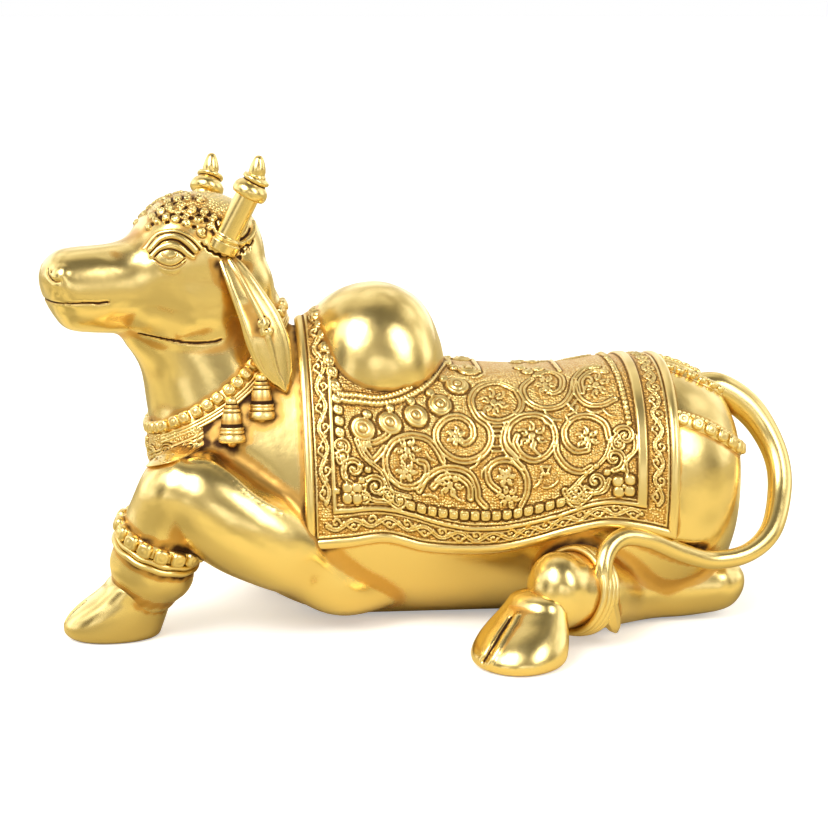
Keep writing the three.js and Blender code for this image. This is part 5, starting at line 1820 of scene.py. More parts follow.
class ClothChart:
    """The near cloth laid flat: reads drawn places in the cloth's own measures."""

    def __init__(self, lift):
        self.u = np.linspace(0, CLOTH_WIDTH, 200)
        self.v = np.linspace(0, CLOTH_DROP, 130)
        here, normal = cloth_places(self.u, self.v)
        self.points = place(here + normal * lift)
        across = len(self.u)
        self.cells = [
            (r * across + c, r * across + c + 1, (r + 1) * across + c + 1, (r + 1) * across + c)
            for r in range(len(self.v) - 1)
            for c in range(across - 1)
        ]
        self.tree = BVHTree.FromPolygons(self.points.reshape(-1, 3).tolist(), self.cells)

    def read(self, drawn):
        eye, ways = photo_rays(in_photo(drawn))
        found = []
        for way in ways:
            hit, _, index, _ = self.tree.ray_cast(eye, way)
            if hit is None:
                continue
            row, column = divmod(index, len(self.u) - 1)
            corner = self.points[row, column]
            along = self.points[row, column + 1] - corner
            down = self.points[row + 1, column] - corner
            share = np.linalg.lstsq(np.stack([along, down], 1), np.array(hit) - corner, rcond=None)[0]
            found.append((self.u[column] + share[0] * self.u[1], self.v[row] + share[1] * self.v[1]))
        return np.array(found)

    def spot(self, x, y):
        return self.read([(x, y)])[0]


# A flower's strokes, along its petal and across it, in shares of its size
PETALS = 6
PETAL_STROKES = (
    ((0.36, 0.0), (0.5, 0.16), (0.72, 0.2), (0.92, 0.02)),
    ((0.42, -0.1), (0.66, -0.06)),
)
FLOWER_CURL = (0.24, 1.1, 0.2)  # radius in shares of the size, turns, inner end


def petal_lines(x, y, size, turn):
    """A flower of bent strokes round a small curl."""
    radius, turns, inner = FLOWER_CURL
    lines = [[tuple(p) for p in spiral_line((x, y), size * radius, turns, turn, 1, inner)]]
    for i in range(PETALS):
        angle = turn + i * TURN / PETALS
        way = np.array([math.cos(angle), math.sin(angle)])
        across = np.array([-way[1], way[0]])
        for stroke in PETAL_STROKES:
            lines.append([tuple((x, y) + way * size * on + across * size * aside) for on, aside in stroke])
    return lines


def leaf_line(x, y, size, way, bend):
    t = np.linspace(-0.5, 0.5, 7)
    c, s = math.cos(way), math.sin(way)
    rise = bend * (0.25 - t * t) * 2
    return list(zip(x + size * (t * c - rise * s), y + size * (t * s + rise * c)))


def bar_line(x, y, size, way):
    c, s = math.cos(way) * size / 2, math.sin(way) * size / 2
    return [(x - c, y - s), (x + c, y + s)]


# The vine in the borders, in millimetres
VINE_STEM = 0.72
VINE_CURL = (1.75, 0.9, 0.25)  # radius, turns, inner end
VINE_CURL_PLACE = 0.55  # in shares of the stem's swing
VINE_CURL_RIDGE = (0.5, 0.9)  # half width, and height in shares of a line's
VINE_LEAVES = ((-2.6, 0.7), (2.6, -0.7))  # how far on from the curl, and lean
VINE_LEAF = (1.1, 0.4, 0.42, 0.8)  # half length, set back, half width, share of the height
BAY = 8  # steps from one bay of the vine to the next


def band_vine(relief, line, waves, swing, height, plainer):
    """A winding stem along a line, with a curl and leaves in each of its bays."""
    spots = curve(line, waves * 2 * BAY + 1)
    ways = unit(np.gradient(spots, axis=0))
    across = np.stack([-ways[:, 1], ways[:, 0]], -1)
    phase = np.linspace(0, waves * TURN, len(spots))
    stem = spots + across * (swing * np.sin(phase))[:, None]
    relief.tendril(stem, VINE_STEM, height, 0.0)
    radius, turns, inner = VINE_CURL
    half, low = VINE_CURL_RIDGE
    for bay in range(waves * 2):
        at = BAY // 2 + bay * BAY
        hand = -1 if bay % 2 == 0 else 1
        middle = spots[at] + across[at] * hand * swing * VINE_CURL_PLACE
        start = math.atan2(ways[at][1], ways[at][0])
        relief.ridge(spiral_line(middle, radius, turns, start, hand, inner), half, height * low)
        if not plainer:
            vine_leaves(relief, middle, ways[at], across[at] * hand, start, height)


def vine_leaves(relief, middle, way, aside, start, height):
    length, back, half, low = VINE_LEAF
    for on, lean in VINE_LEAVES:
        tip = middle + way * on - aside * back
        stroke = np.array([math.cos(start + lean), math.sin(start + lean)]) * length
        relief.ridge([tip - stroke, tip + stroke], half, height * low)


# The cloth's carving: half widths in millimetres, heights in shares of a line's height
TENDRIL_HALF = 1.15
STROKE = (0.55, 0.85)
SCROLL = (1.1, 1.6)
SCROLL_SHAPE = (1.3, 0.1)  # turns, inner end
SCROLL_EYE = (0.9, 1.7)
SCROLL_LINK = (0.9, 1.3)
STUD_SCALE = 0.1  # millimetres in a drawn unit
STUD_HEIGHT = 1.8
STUD_SQUARENESS = 2.6
ROSETTE = (2.3, 1.5)
TOP_RIDGE = (0.8, 1.4)
ROPE = (1.15, 1.9, 1.7)  # and the pitch of its strands
# The discs: the hump's middle, round which they stand; rings cut in them; the ball on each disc's inside
HUMP_MIDDLE = (35, 8)
DISC_RINGS = ((0.74, 0.4, 0.7), (0.4, 0.35, 0.6))  # share of the radius, half width, depth
DISC_BALL = (1.7, 0.9, 1.6)  # radius, share of the disc's height, how far off
ROPE_END = [(59.5, 6), (60.5, 0)]  # where the ropes reach the spine behind the hump
ROPE_START = (-0.6, -4)  # from their first drawn place
# Square beads down the front: share of the height, and squareness
FRONT_BEAD = (1.0, 3.4)
FRONT_SMALL_BEAD = (0.9, 3.0)
SMALL_BEAD_RADIUS = 1.75
BEAD_TURN = 0.1
BEAD_RING = 0.45
FRONT_BEADS_ABOVE = ((-1.4, -9.6), (-0.7, -4.8))  # two more, from the first drawn one
# Beads along a line: pitch, radius, share of the height
REAR_BEAD = (2.4, 1.05, 0.8)
HEM_BEAD = (4.15, 1.85, 0.9)


def cloth_relief(u, v, chart, sizes, plainer):
    """The cloth's carving over its own measures: u from the front edge, v down from the spine."""
    grid_u, grid_v = (each.ravel() for each in np.meshgrid(u, np.abs(v)))
    relief = Relief(np.stack([grid_u, grid_v], -1))
    height = sizes.line_height
    carve_field(relief, chart, height, plainer)
    carve_discs(relief, chart, sizes)
    carve_beads(relief, chart, sizes.bead_size, sizes.bead_height)
    for place_drawn in TOP_ROSETTES:
        radius, high = ROSETTE
        relief.stud(chart.spot(*place_drawn), radius, height * high, 2.0, 0.0, 0.4)
    for place_drawn in TOP_RIDGES:
        along, down = chart.spot(*place_drawn)
        half, high = TOP_RIDGE
        relief.ridge([(along, 0), (along + 0.5, down + 2.5)], half, height * high)
    cloth_borders(relief, grid_u, grid_v, chart, sizes, plainer)
    return relief


def carve_field(relief, chart, height, plainer):
    """Spirals, flowers, leaves and scrolls."""
    for line in TENDRILS:
        relief.tendril(curve(chart.read(line), 60), TENDRIL_HALF, height, 0.0)
    strokes = [line for flower in FLOWERS for line in petal_lines(*flower)]
    strokes += [leaf_line(*leaf) for leaf in LEAVES] + [bar_line(*bar) for bar in BARS]
    half, high = STROKE
    for line in strokes[::2] if plainer else strokes:
        relief.ridge(chart.read(line), half, height * high)
    turns, inner = SCROLL_SHAPE
    for x, y, radius, hand, start in SCROLLS:
        drawn = [tuple(p) for p in spiral_line((x, y), radius, turns, start, hand, inner)]
        half, high = SCROLL
        relief.tendril(chart.read(drawn), half, height * high, 0.3)
        eye_radius, high = SCROLL_EYE
        relief.stud(chart.spot(x, y), eye_radius, height * high)
    half, high = SCROLL_LINK
    for line in SCROLL_LINKS:
        relief.tendril(curve(chart.read(line), 40), half, height * high, 0.2)
    for x, y, radius in STUDS:
        relief.stud(chart.spot(x, y), radius * STUD_SCALE, height * STUD_HEIGHT, STUD_SQUARENESS)


def carve_discs(relief, chart, sizes):
    """Discs round the hump's opening, each with a ball, and the two ropes beside it."""
    for spot in chart.read(DISCS):
        out = unit(spot - HUMP_MIDDLE)
        relief.stud(spot, sizes.disc_radius, sizes.disc_height)
        for share_of_radius, half, depth in DISC_RINGS:
            ring = arc_line(spot, sizes.disc_radius * share_of_radius, 0, TURN, 30)
            relief.swell(ring, half * 2, -depth, 1.0)
        radius, high, off = DISC_BALL
        ball = spot - out * (sizes.disc_radius + off)
        relief.stud(ball, radius, sizes.disc_height * high, 2.0, 0.0, 0.3)
    half, high, pitch = ROPE
    for rope in HUMP_ROPES:
        line = chart.read(rope)
        line = np.concatenate([[line[0] + ROPE_START], line, ROPE_END])
        relief.rope(curve(line, 80), half, sizes.line_height * high, pitch)


def carve_beads(relief, chart, size, height):
    """Square beads down the front, over the hem and along the rear."""
    front = chart.read(FRONT_BEADS)
    front = np.concatenate([[front[0] + above for above in FRONT_BEADS_ABOVE], front])
    small = chart.read(FRONT_SMALL_BEADS)
    rows = ((front, size / 2, FRONT_BEAD), (small, SMALL_BEAD_RADIUS, FRONT_SMALL_BEAD))
    for spots, radius, (high, squareness) in rows:
        for spot in spots:
            relief.stud(spot, radius, height * high, squareness, BEAD_TURN, BEAD_RING)
    pitch, radius, high = REAR_BEAD
    rear = chart.read(REAR_BEADS)
    above = [(rear[0][0] - 0.5, 1), rear[0] - (0, 1.2)]
    for line in (rear, above):
        studs_along(relief, line, pitch, radius, height * high)
    pitch, radius, high = HEM_BEAD
    studs_along(relief, curve(chart.read(HEM_BEADS), 60), pitch, radius, height * high, 3.4, BEAD_RING)


def strip(distance, half, height):
    """A flat strip with rounded edges, over the distance from its middle."""
    return height * np.clip((half - np.abs(distance)) / 0.35, 0, 1) ** 0.5


# The borders, in millimetres from the front edge and from the cloth's outer edge
INNER_FRONT = 11.3
INNER_REAR = 131.5
HEM_STRIP = (0.85, 1.3)  # half width, height in shares of a line's
FRONT_STRIP = (0.8, 1.3)
REAR_STRIP = (1.9, 1.5)
HEM_THREADS = (1.7, 0.5, 0.5)  # how far from the strip, half width, share of the height
RIM_HALF = 1.9
EDGE_LINE = (4.6, 0.5, 0.55)  # place, half width, share of the height
EDGE_CUT = (3.75, 0.35, 0.35)  # place, half width, depth
HEM_BAND_LOW = 87.4
# The vines' lines: places, waves and swing
FRONT_VINE = ([(8.0, 2), (8.0, 40), (8.0, 76)], 5, 1.5)
REAR_VINE = ([(137.8, 1), (137.8, 40), (137.8, 80)], 6, 1.6)
HEM_VINE = (9, 1.5)
HEM_VINE_START = 8.2


def cloth_borders(relief, u, v, chart, sizes, plainer):
    """Rolled rim, vine band and inner strip round the cloth's three free edges."""
    height = sizes.line_height
    inner = chart.read(INNER_HEM)
    hem_level = np.interp(u, inner[:, 0], inner[:, 1])

    def raise_where(wanted, rise):
        relief.raised = np.maximum(relief.raised, np.where(wanted, rise, 0))

    def strip_of(distance, half, high):
        return strip(distance, half, height * high)

    spanned = (u > INNER_FRONT - 0.8) & (u < INNER_REAR + 2)
    upright = v < hem_level
    raise_where(spanned, strip_of(v - hem_level, *HEM_STRIP))
    raise_where(upright, strip_of(u - INNER_FRONT, *FRONT_STRIP))
    raise_where(upright, strip_of(u - INNER_REAR, *REAR_STRIP))
    away, half, high = HEM_THREADS
    for offset in (away, -away):
        raise_where(spanned, high * height * bulge(v - hem_level, offset, half))
    edge = np.minimum(np.minimum(u, CLOTH_WIDTH - u), CLOTH_DROP - v)
    raise_where(True, np.sqrt(bulge(edge / RIM_HALF, 1, 1)) * sizes.rim_height)
    line_place, half, high = EDGE_LINE
    raise_where(True, high * height * bulge(edge, line_place, half))
    cut_place, half, depth = EDGE_CUT
    relief.cut = np.maximum(relief.cut, depth * bulge(edge, cut_place, half))
    low = (HEM_BAND_LOW + inner[:, 1] + 0.9) / 2
    hem_band = np.concatenate([[(HEM_VINE_START, low[0])], np.stack([inner[:, 0], low], -1)[1:]])
    for line, waves, swing in ((hem_band, *HEM_VINE), FRONT_VINE, REAR_VINE):
        band_vine(relief, line, waves, swing, height, plainer)


SPINE_ROWS = 3  # rows along the spine, where the halves meet, that take the wear of the rows beside them
CLOTH_WEAR_REACH = 1.0
FAR_CLOTH_STEP = 1.5  # the far half is this much coarser
GROUND_HEIGHT = 0.3  # lower than this, the ground between the lines is stippled


def stipple_ground(piece, relief):
    store(piece, "ground", pad(np.clip(1 - relief.raised / GROUND_HEIGHT, 0, 1), piece))


class NANDI_OT_cloth(bpy.types.Operator):
    """Saddle cloth in two halves, carved with spirals, borders, beads and discs"""

    bl_idname = "nandi.cloth"
    bl_label = "Saddle cloth"
    bl_options = {"REGISTER", "UNDO"}

    def execute(self, context):
        sizes = in_millimetres(context.scene.nandi_ornaments)
        chart = ClothChart(sizes.cloth_thickness)
        for name, handed, step in (
            ("saddle_cloth_left", 1, sizes.cloth_step),
            ("saddle_cloth_right", -1, sizes.cloth_step * FAR_CLOTH_STEP),
        ):
            u = np.linspace(0, CLOTH_WIDTH, int(CLOTH_WIDTH / step))
            v = handed * np.linspace(0, CLOTH_DROP, int(CLOTH_DROP / step))
            here, normal = cloth_places(u, v)
            relief = cloth_relief(u, v, chart, sizes, handed < 0)
            lift = sizes.cloth_thickness + relief.height().reshape(len(v), len(u))
            piece = sheet(name, here + normal * lift[..., None])
            close_below(piece, here, normal)
            stipple_ground(piece, relief)
            hollow = wear_of(piece, CLOTH_WEAR_REACH)
            spine = SPINE_ROWS * len(u)
            hollow[:spine] = hollow[spine:2 * spine]
            store(piece, "hollow", hollow)
            hand_over(context, piece, "carved_brass")
        return {"FINISHED"}


def close_below(piece, here, normal, depth=1.2, hub=(25, 0, 50), share=0.45):
    """The border of a sheet drawn inwards to a hub and closed under it."""
    choose(piece)
    count = len(piece.data.vertices)
    bpy.ops.object.mode_set(mode="EDIT")
    bpy.ops.mesh.select_all(action="SELECT")
    bpy.ops.mesh.region_to_loop()
    bpy.ops.mesh.mark_sharp()
    bpy.ops.mesh.extrude_region_move()
    bpy.ops.object.mode_set(mode="OBJECT")
    points = read_points(piece)
    flat_here, flat_normal = here.reshape(-1, 3), normal.reshape(-1, 3)
    search = KDTree(count)
    for i, point in enumerate(points[:count]):
        search.insert(point, i)
    search.balance()
    for i in range(count, len(points)):
        nearest = search.find(points[i])[1]
        points[i] = flat_here[nearest] - flat_normal[nearest] * depth
    write_points(piece, points)
    bpy.ops.object.mode_set(mode="EDIT")
    bpy.ops.mesh.extrude_region_move()
    bpy.ops.transform.resize(value=(share,) * 3, center_override=place(hub))
    bpy.ops.mesh.edge_face_add()
    bpy.ops.mesh.select_all(action="SELECT")
    bpy.ops.mesh.normals_make_consistent(inside=False)
    bpy.ops.object.mode_set(mode="OBJECT")


# Ornaments that stand on the hide


def band(name, spots, normals, profile, closed):
    """A band along places, with a profile of out-across and height that faces the normals."""
    ahead = np.roll(spots, -1, 0) - np.roll(spots, 1, 0) if closed else np.gradient(spots, axis=0)
    along = unit(ahead)
    normals = unit(normals - along * (normals * along).sum(1, keepdims=True))
    across = np.cross(normals, along)
    aside, height = np.asarray(profile, float).T[..., None]
    loops = spots[:, None] + across[:, None] * aside + normals[:, None] * height
    piece = hoop(name, loops) if closed else skin(name, loops[0].mean(0), loops, loops[-1].mean(0))
    return piece, along, normals, across


# A square bead: shares of half its width and of its height
BEAD_PROFILE = [
    (0.96, -0.5), (1, 0.2), (0.98, 0.42), (0.9, 0.68), (0.76, 0.86), (0.6, 0.94), (0.48, 0.9), (0.38, 0.91),
    (0.22, 0.99), (0.05, 1.0),
]
BEAD_SQUARENESS = 3.2
BEAD_SEAM = (0.4, 0.62)  # patina at its foot, and the share of its height over which that fades


def square_bead(size, height):
    """A rounded square bead with a ring and a dot on its face, standing on the origin."""
    bead = turned("bead", scaled(BEAD_PROFILE, size / 2, height), -SHIFT, (0, 0, 1), 16)
    points = read_points(bead) + SHIFT
    angle = np.arctan2(points[:, 1], points[:, 0])
    square = np.abs(np.cos(angle)) ** BEAD_SQUARENESS + np.abs(np.sin(angle)) ** BEAD_SQUARENESS
    patina, fading = BEAD_SEAM
    store(bead, "seam", patina * np.clip(1 - points[:, 2] / (fading * height), 0, 1))
    points[:, :2] *= square[:, None] ** (-1 / BEAD_SQUARENESS)
    bead.data.vertices.foreach_set("co", (points * MM).ravel())
    return bead


def stand(spots, along, across, normals):
    """Matrices that stand copies on places, turned with them."""
    made = []
    for spot, *axes in zip(spots, along, across, normals):
        matrix = Matrix([Vector(axis) for axis in axes]).transposed().to_4x4()
        matrix.translation = Vector(place(spot))
        made.append(matrix)
    return made


def bead_row(name, spots, along, across, normals, size, height, pitch, lift, shift=0.0):
    """Square beads at even steps along a band."""
    run = np.concatenate([[0], np.cumsum(np.linalg.norm(np.diff(spots, axis=0), axis=1))])
    count = max(int(run[-1] / pitch), 1)
    at = (np.arange(count) + 0.5) * run[-1] / count
    index = np.clip(np.searchsorted(run, at), 0, len(run) - 1)
    seats = spots[index] + normals[index] * lift + across[index] * shift
    return copies(name, square_bead(size, height), stand(seats, along[index], across[index], normals[index]))


# The necklace's line is cast on the skin from inside the neck
NECK_INSIDE = np.array([-76.0, 0, 92])
NECKLACE_PLACES = 220
NECKLACE_HALF = 4.4
NECKLACE_LEAN = 0.5  # most slope of the skin that the band follows
NECKLACE_LIFT = (-0.5, 1.0)
NECKLACE_PASSES = 6
NECKLACE_SLOPE_PASSES = 12


def necklace_path(surfaces):
    """The necklace's line round the neck, on the skin, and the way out of it."""
    left = curve(NECKLACE, NECKLACE_PLACES // 2 + 1)
    aims = np.concatenate([left, (left * (1, -1, 1))[-2:0:-1]])
    spots = soft_round(cast_out(surfaces, NECK_INSIDE, aims), NECKLACE_PASSES)
    along = unit(np.roll(spots, -1, 0) - np.roll(spots, 1, 0))
    across = np.cross(unit(spots - NECK_INSIDE), along)
    above, below = (
        cast_out(surfaces, NECK_INSIDE, spots + across * step) for step in (NECKLACE_HALF, -NECKLACE_HALF))
    outward = np.cross(along, across)
    outward *= np.sign((outward * (spots - NECK_INSIDE)).sum(1, keepdims=True))
    lean = ((above - below) * outward).sum(1) / (2 * NECKLACE_HALF)
    lean = soft_round(np.clip(lean, -NECKLACE_LEAN, NECKLACE_LEAN), NECKLACE_SLOPE_PASSES)
    middle = soft_round((above + below) / 2, NECKLACE_SLOPE_PASSES)
    tilt = unit(across + outward * lean[:, None])
    lift = np.clip(((middle - spots) * outward).sum(1), *NECKLACE_LIFT)
    normals = np.cross(along, tilt)
    normals *= np.sign(normals * outward).sum(1, keepdims=True)
    return spots + outward * lift[:, None], unit(normals)


# The necklace's band, in millimetres: up the neck, and off the skin
NECKLACE_BAND = [
    (-4.6, -1.6), (-4.5, 0.2), (-4.15, 0.75), (-3.7, 0.8), (-3.3, 0.3), (-2.95, 0.75), (-2.5, 0.85),
    (-2.1, 0.3), (-1.8, 0.8), (-1.35, 0.9), (-0.9, 0.35), (-0.3, 0.3), (3.4, 0.3), (3.9, 0.1), (4.2, -1.6),
]
# Its beads: size, height, pitch, how far off the skin and how far up from the band's middle
NECKLACE_BEADS = (4.8, 2.4, 4.9, 0.3, 1.9)
# A bell, from its lip to its loop: shares of its radius and of its length
BELL_PROFILE = [
    (0.5, 0.1), (0.8, 0.07), (0.97, 0.09), (1, 0.13), (0.97, 0.19), (0.88, 0.23), (0.84, 0.25), (0.9, 0.265),
    (0.91, 0.3), (0.84, 0.32), (0.84, 0.33), (0.88, 0.345), (0.88, 0.375), (0.79, 0.395), (0.75, 0.47),
    (0.7, 0.58), (0.63, 0.66), (0.6, 0.68), (0.65, 0.7), (0.65, 0.735), (0.56, 0.755), (0.5, 0.82),
    (0.4, 0.84), (0.42, 0.87), (0.42, 0.92), (0.3, 0.97), (0.05, 1.0),
]
BELLS = [(-60.8, 102.3), (-72.2, 94.3)]  # x and the level of the loop
BELL_OFF = 0.5  # how far its middle stands off the skin, in shares of its radius
BELL_DROP = 0.44  # how far its lip hangs below its middle, in shares of its length
BELL_LEAN = 0.12
CLAPPER_LEVEL = 0.07
CLAPPER_RADIUS = 1.9


class NANDI_OT_necklace(bpy.types.Operator):
    """Beaded necklace, with the plate on the chest and the bells that hang from it"""

    bl_idname = "nandi.necklace"
    bl_label = "Necklace and bells"
    bl_options = {"REGISTER", "UNDO"}

    def execute(self, context):
        sizes = in_millimetres(context.scene.nandi_ornaments)
        surfaces = skin_of_bull()
        spots, out = necklace_path(surfaces)
        strip_piece, along, normals, across = band("necklace", spots, out, NECKLACE_BAND, True)
        up = np.sign(across[40, 2])
        whole = [np.concatenate([each, each[:1]]) for each in (spots, along, across, normals)]
        size, height, pitch, lift, shift = NECKLACE_BEADS
        row = bead_row("beads", *whole, size, height, pitch, lift, shift * up)
        piece = joined("necklace", [strip_piece, row])
        hand_over(context, piece, "carved_brass", FINE_WEAR_REACH)
        chest_plate(context, surfaces)
        profile = scaled(BELL_PROFILE, sizes.bell_radius, sizes.bell_length)
        for index, (x, level) in enumerate(BELLS):
            for side_name, handed in (("left", -1), ("right", 1)):
                start = np.array([x, 0.0, level - sizes.bell_length / 2])
                at = cast_out(surfaces, start, [start + (0, handed * 60, 0)])[0]
                foot = at + (0, handed * sizes.bell_radius * BELL_OFF, -sizes.bell_length * BELL_DROP)
                clapper = foot + np.array([0, 0, CLAPPER_LEVEL * sizes.bell_length])
                parts = [
                    turned("bell", profile, foot, (0, -handed * BELL_LEAN, 1), 40),
                    ball_form("clapper", clapper, (CLAPPER_RADIUS,) * 3),
                ]
                piece = joined(f"bell_{side_name}_{index + 1}", parts)
                hand_over(context, piece, "bell_brass", FINE_WEAR_REACH)
        return {"FINISHED"}


# The chest plate is drawn flat, from -1 to 1 over most of its width, and cast on the skin from inside
PLATE_REACH = 1.05
PLATE_COLUMNS = 230
PLATE_ROWS = 84
PLATE_LOW = (60.5, 15, 1.5)  # level in the middle, rise to the side and its power
PLATE_HIGH = (76, 8, 2)
PLATE_HALF = 36  # millimetres of the drawing in 1 of its width
PLATE_SWEEP = 1.45  # radians round the chest in 1 of its width
PLATE_INSIDE = -80.0
PLATE_HUB = (-72, 0, 70)
PLATE_PASSES = 4
PLATE_LIFT = 2.1
PLATE_SUNK = 0.6  # how deep its border lies in the skin
# Lines along its lower edge: how far up, half width, share of a line's height
PLATE_LINES = ((1.2, 1.1, 1.5), (3.8, 0.6, 1), (5.2, 0.5, 0.8))
# Scrolls on each half: place, radius and start
PLATE_SCROLLS = ((7, 71.0, 3.6, 0.5), (16.5, 70.5, 3.4, 2.4), (25.5, 73, 3.0, 1.2), (33, 76, 2.4, 2))
PLATE_STUDS = ((11.8, 68), (21.2, 70), (29.6, 74), (3.4, 66.6))
PLATE_ROSETTE = (0, 70.5)


def plate_relief(places, edge, height):
    relief = Relief(places)
    for rise, half, share_of_height in PLATE_LINES:
        relief.ridge((edge + (0, rise))[::6], half, height * share_of_height)
    for hand in (-1, 1):
        for x, z, radius, start in PLATE_SCROLLS:
            scroll = spiral_line((hand * x, z), radius, 1.3, math.pi / 2 - hand * start, hand)
            relief.tendril(scroll, 0.8, height * 1.5)
            relief.stud((hand * x, z), 0.9, height * 1.6)
        for x, z in PLATE_STUDS:
            relief.stud((hand * x, z), 1.0, height * 1.5)
    relief.stud(PLATE_ROSETTE, 2.6, height * 2.0, ring=0.4)
    return relief


def chest_plate(context, surfaces):
    """The scrolled plate on the chest, under the necklace."""
    across = np.linspace(-PLATE_REACH, PLATE_REACH, PLATE_COLUMNS)
    share_up = np.linspace(0, 1, PLATE_ROWS)[:, None]
    low, high = (middle + rise * np.abs(across) ** power for middle, rise, power in (PLATE_LOW, PLATE_HIGH))
    level = low + (high - low) * share_up
    angle = np.broadcast_to(across * PLATE_SWEEP, level.shape)
    ways = np.stack([-np.cos(angle), np.sin(angle), 0 * angle], -1)
    starts = np.stack([np.full_like(level, PLATE_INSIDE), 0 * level, level], -1)
    aims = (starts + ways * 40).reshape(-1, 3)
    found = cast_out(surfaces, starts.reshape(-1, 3), aims).reshape(starts.shape)
    for _ in range(PLATE_PASSES):
        soft_loop(found, 1)
        soft_loop(found.transpose(1, 0, 2), 1)
    flat = np.stack([np.broadcast_to(across * PLATE_HALF, level.shape), level], -1).reshape(-1, 2)
    edge = np.stack([across * PLATE_HALF, low], -1)
    relief = plate_relief(flat, edge, in_millimetres(context.scene.nandi_ornaments).line_height)
    border = soft_step((PLATE_REACH - np.abs(across)) / 0.1) * soft_step(share_up / 0.1)
    lift = PLATE_LIFT * border - PLATE_SUNK + relief.height().reshape(level.shape) * border
    piece = sheet("chest_plate", found + ways * lift[..., None])
    close_below(piece, found, ways, depth=1.6, hub=PLATE_HUB, share=0.7)
    stipple_ground(piece, relief)
    hand_over(context, piece, "carved_brass", CLOTH_WEAR_REACH)


def pad(values, piece):
    """Values of a piece's first points, with 0 for the ones added since."""
    whole = np.zeros(len(piece.data.vertices))
    whole[:len(values)] = values
    return whole


# Straps and cords round the limbs

CORD_WAVES = 11
CORD_GROUND = 0.15  # no cord goes lower
CORD_PLACES = 360
CORD_SIDES = 18


def limb_ring(rows, at):
    """Centre, way and radius of a limb at a place counted in rows."""
    near = smooth(rows, [at - 0.1, at, at + 0.1])
    return near[1, :3], unit(near[2, :3] - near[0, :3]), near[1, 3]


def ring_round(centre, forward, radius, count=160):
    """Places round a limb, and the ways out of it."""
    start = unit(np.cross((0, 0, 1), forward))
    other = np.cross(forward, start)
    angle = np.linspace(0, TURN, count, endpoint=False)[:, None]
    out = start * np.cos(angle) + other * np.sin(angle)
    return centre + out * radius, out


def cord_ring(centre, forward, radius, cord, wave):
    """A cord laid round a limb, in slight waves where it has some."""
    spots, out = ring_round(centre, forward, radius, CORD_PLACES)
    turn = np.linspace(0, TURN, CORD_PLACES, endpoint=False)
    spots = spots + forward * (wave * np.sin(CORD_WAVES * turn))[:, None]
    angle = np.linspace(0, TURN, CORD_SIDES, endpoint=False)[None, :, None]
    loops = spots[:, None] + cord * (out[:, None] * np.cos(angle) + forward * np.sin(angle))
    loops[..., 2] = np.maximum(loops[..., 2], CORD_GROUND)
    return hoop("cord", loops)


# Anklets: the limb, the place counted in its rows, and the cords. Each cord's step along the limb in
# shares of the cord's radius, millimetres off the limb, share of the radius, and waves
ANKLETS = {
    "anklet_front_left": (NEAR_SHANK, 3.4, ((-0.3, 0.3, 1.0, 0.15), (1.8, 0.4, 0.8, 0.2))),
    "anklet_hind_left": (NEAR_CANNON, 6.15, (
        (-1.8, 0.6, 1.0, 0.0), (0.0, 0.8, 1.0, 0.0), (1.8, 0.7, 1.0, 0.0), (3.6, 0.3, 1.0, 0.0))),
    "anklet_hind_right": (FAR_CANNON, 4.4, ((0.0, 0.2, 1.0, 0.0), (1.8, 0.2, 1.0, 0.0))),
}
# The band of beads on the raised foreleg, and the beads' size, height, pitch and lift
ANKLET_BAND = [(-2.6, -1.8), (-2.6, 0.1), (-2.2, 0.5), (2.2, 0.5), (2.6, 0.1), (2.6, -1.8)]
ANKLET_BEADS = (6.0, 2.7, 6.1, 0.2)
ANKLET_BAND_STEP = (2.6, 3.0)  # in shares of the cord's radius, and millimetres more


class NANDI_OT_anklets(bpy.types.Operator):
    """Anklets: cords round the legs, with a row of square beads on the raised foreleg"""

    bl_idname = "nandi.anklets"
    bl_label = "Anklets"
    bl_options = {"REGISTER", "UNDO"}

    def execute(self, context):
        cord = in_millimetres(context.scene.nandi_ornaments).cord_radius
        for name, (limb, at, cords) in ANKLETS.items():
            centre, forward, radius = limb_ring(limb, at)
            parts = [
                cord_ring(centre + forward * cord * step, forward, radius + off, cord * size, wave)
                for step, off, size, wave in cords
            ]
            if name == "anklet_front_left":
                share_of_cord, more = ANKLET_BAND_STEP
                row = centre + forward * (cord * share_of_cord + more)
                spots, out = ring_round(row, forward, radius + 0.1, 240)
                strip_piece, along, normals, across = band("row", spots, out, ANKLET_BAND, True)
                parts.append(strip_piece)
                parts.append(bead_row("beads", spots, along, across, normals, *ANKLET_BEADS))
            hand_over(context, joined(name, parts), "carved_brass", FINE_WEAR_REACH)
        return {"FINISHED"}


# Straps under the tail, on the bull's right half, and the size of their large beads
STRAPS = {
    "crupper_upper": ([(99, 9, 101), (108, 13, 99), (116, 14, 95), (122, 10, 90)], 3.6),
    "crupper_lower": ([(97, 36, 84), (107, 36, 81), (116, 34, 76.5), (123, 28, 71), (127, 20, 68)], 5.0),
}
STRAP_PLACES = 90
STRAP_PASSES = 8
STRAP_REAR_START = 104  # the places are cast from the body's middle, no further back than this
STRAP_START_LEVEL = 62
STRAP_BEAD_HEIGHT = 2.0
STRAP_BEAD_GAP = 0.3
STRAP_BEAD_INSET = 0.55
STRAP_LIFT = 0.7
SMALL_STRAP_BEADS = (1.6, 0.9, 1.9)  # size, height and pitch
SMALL_BEAD_INSET = 0.9


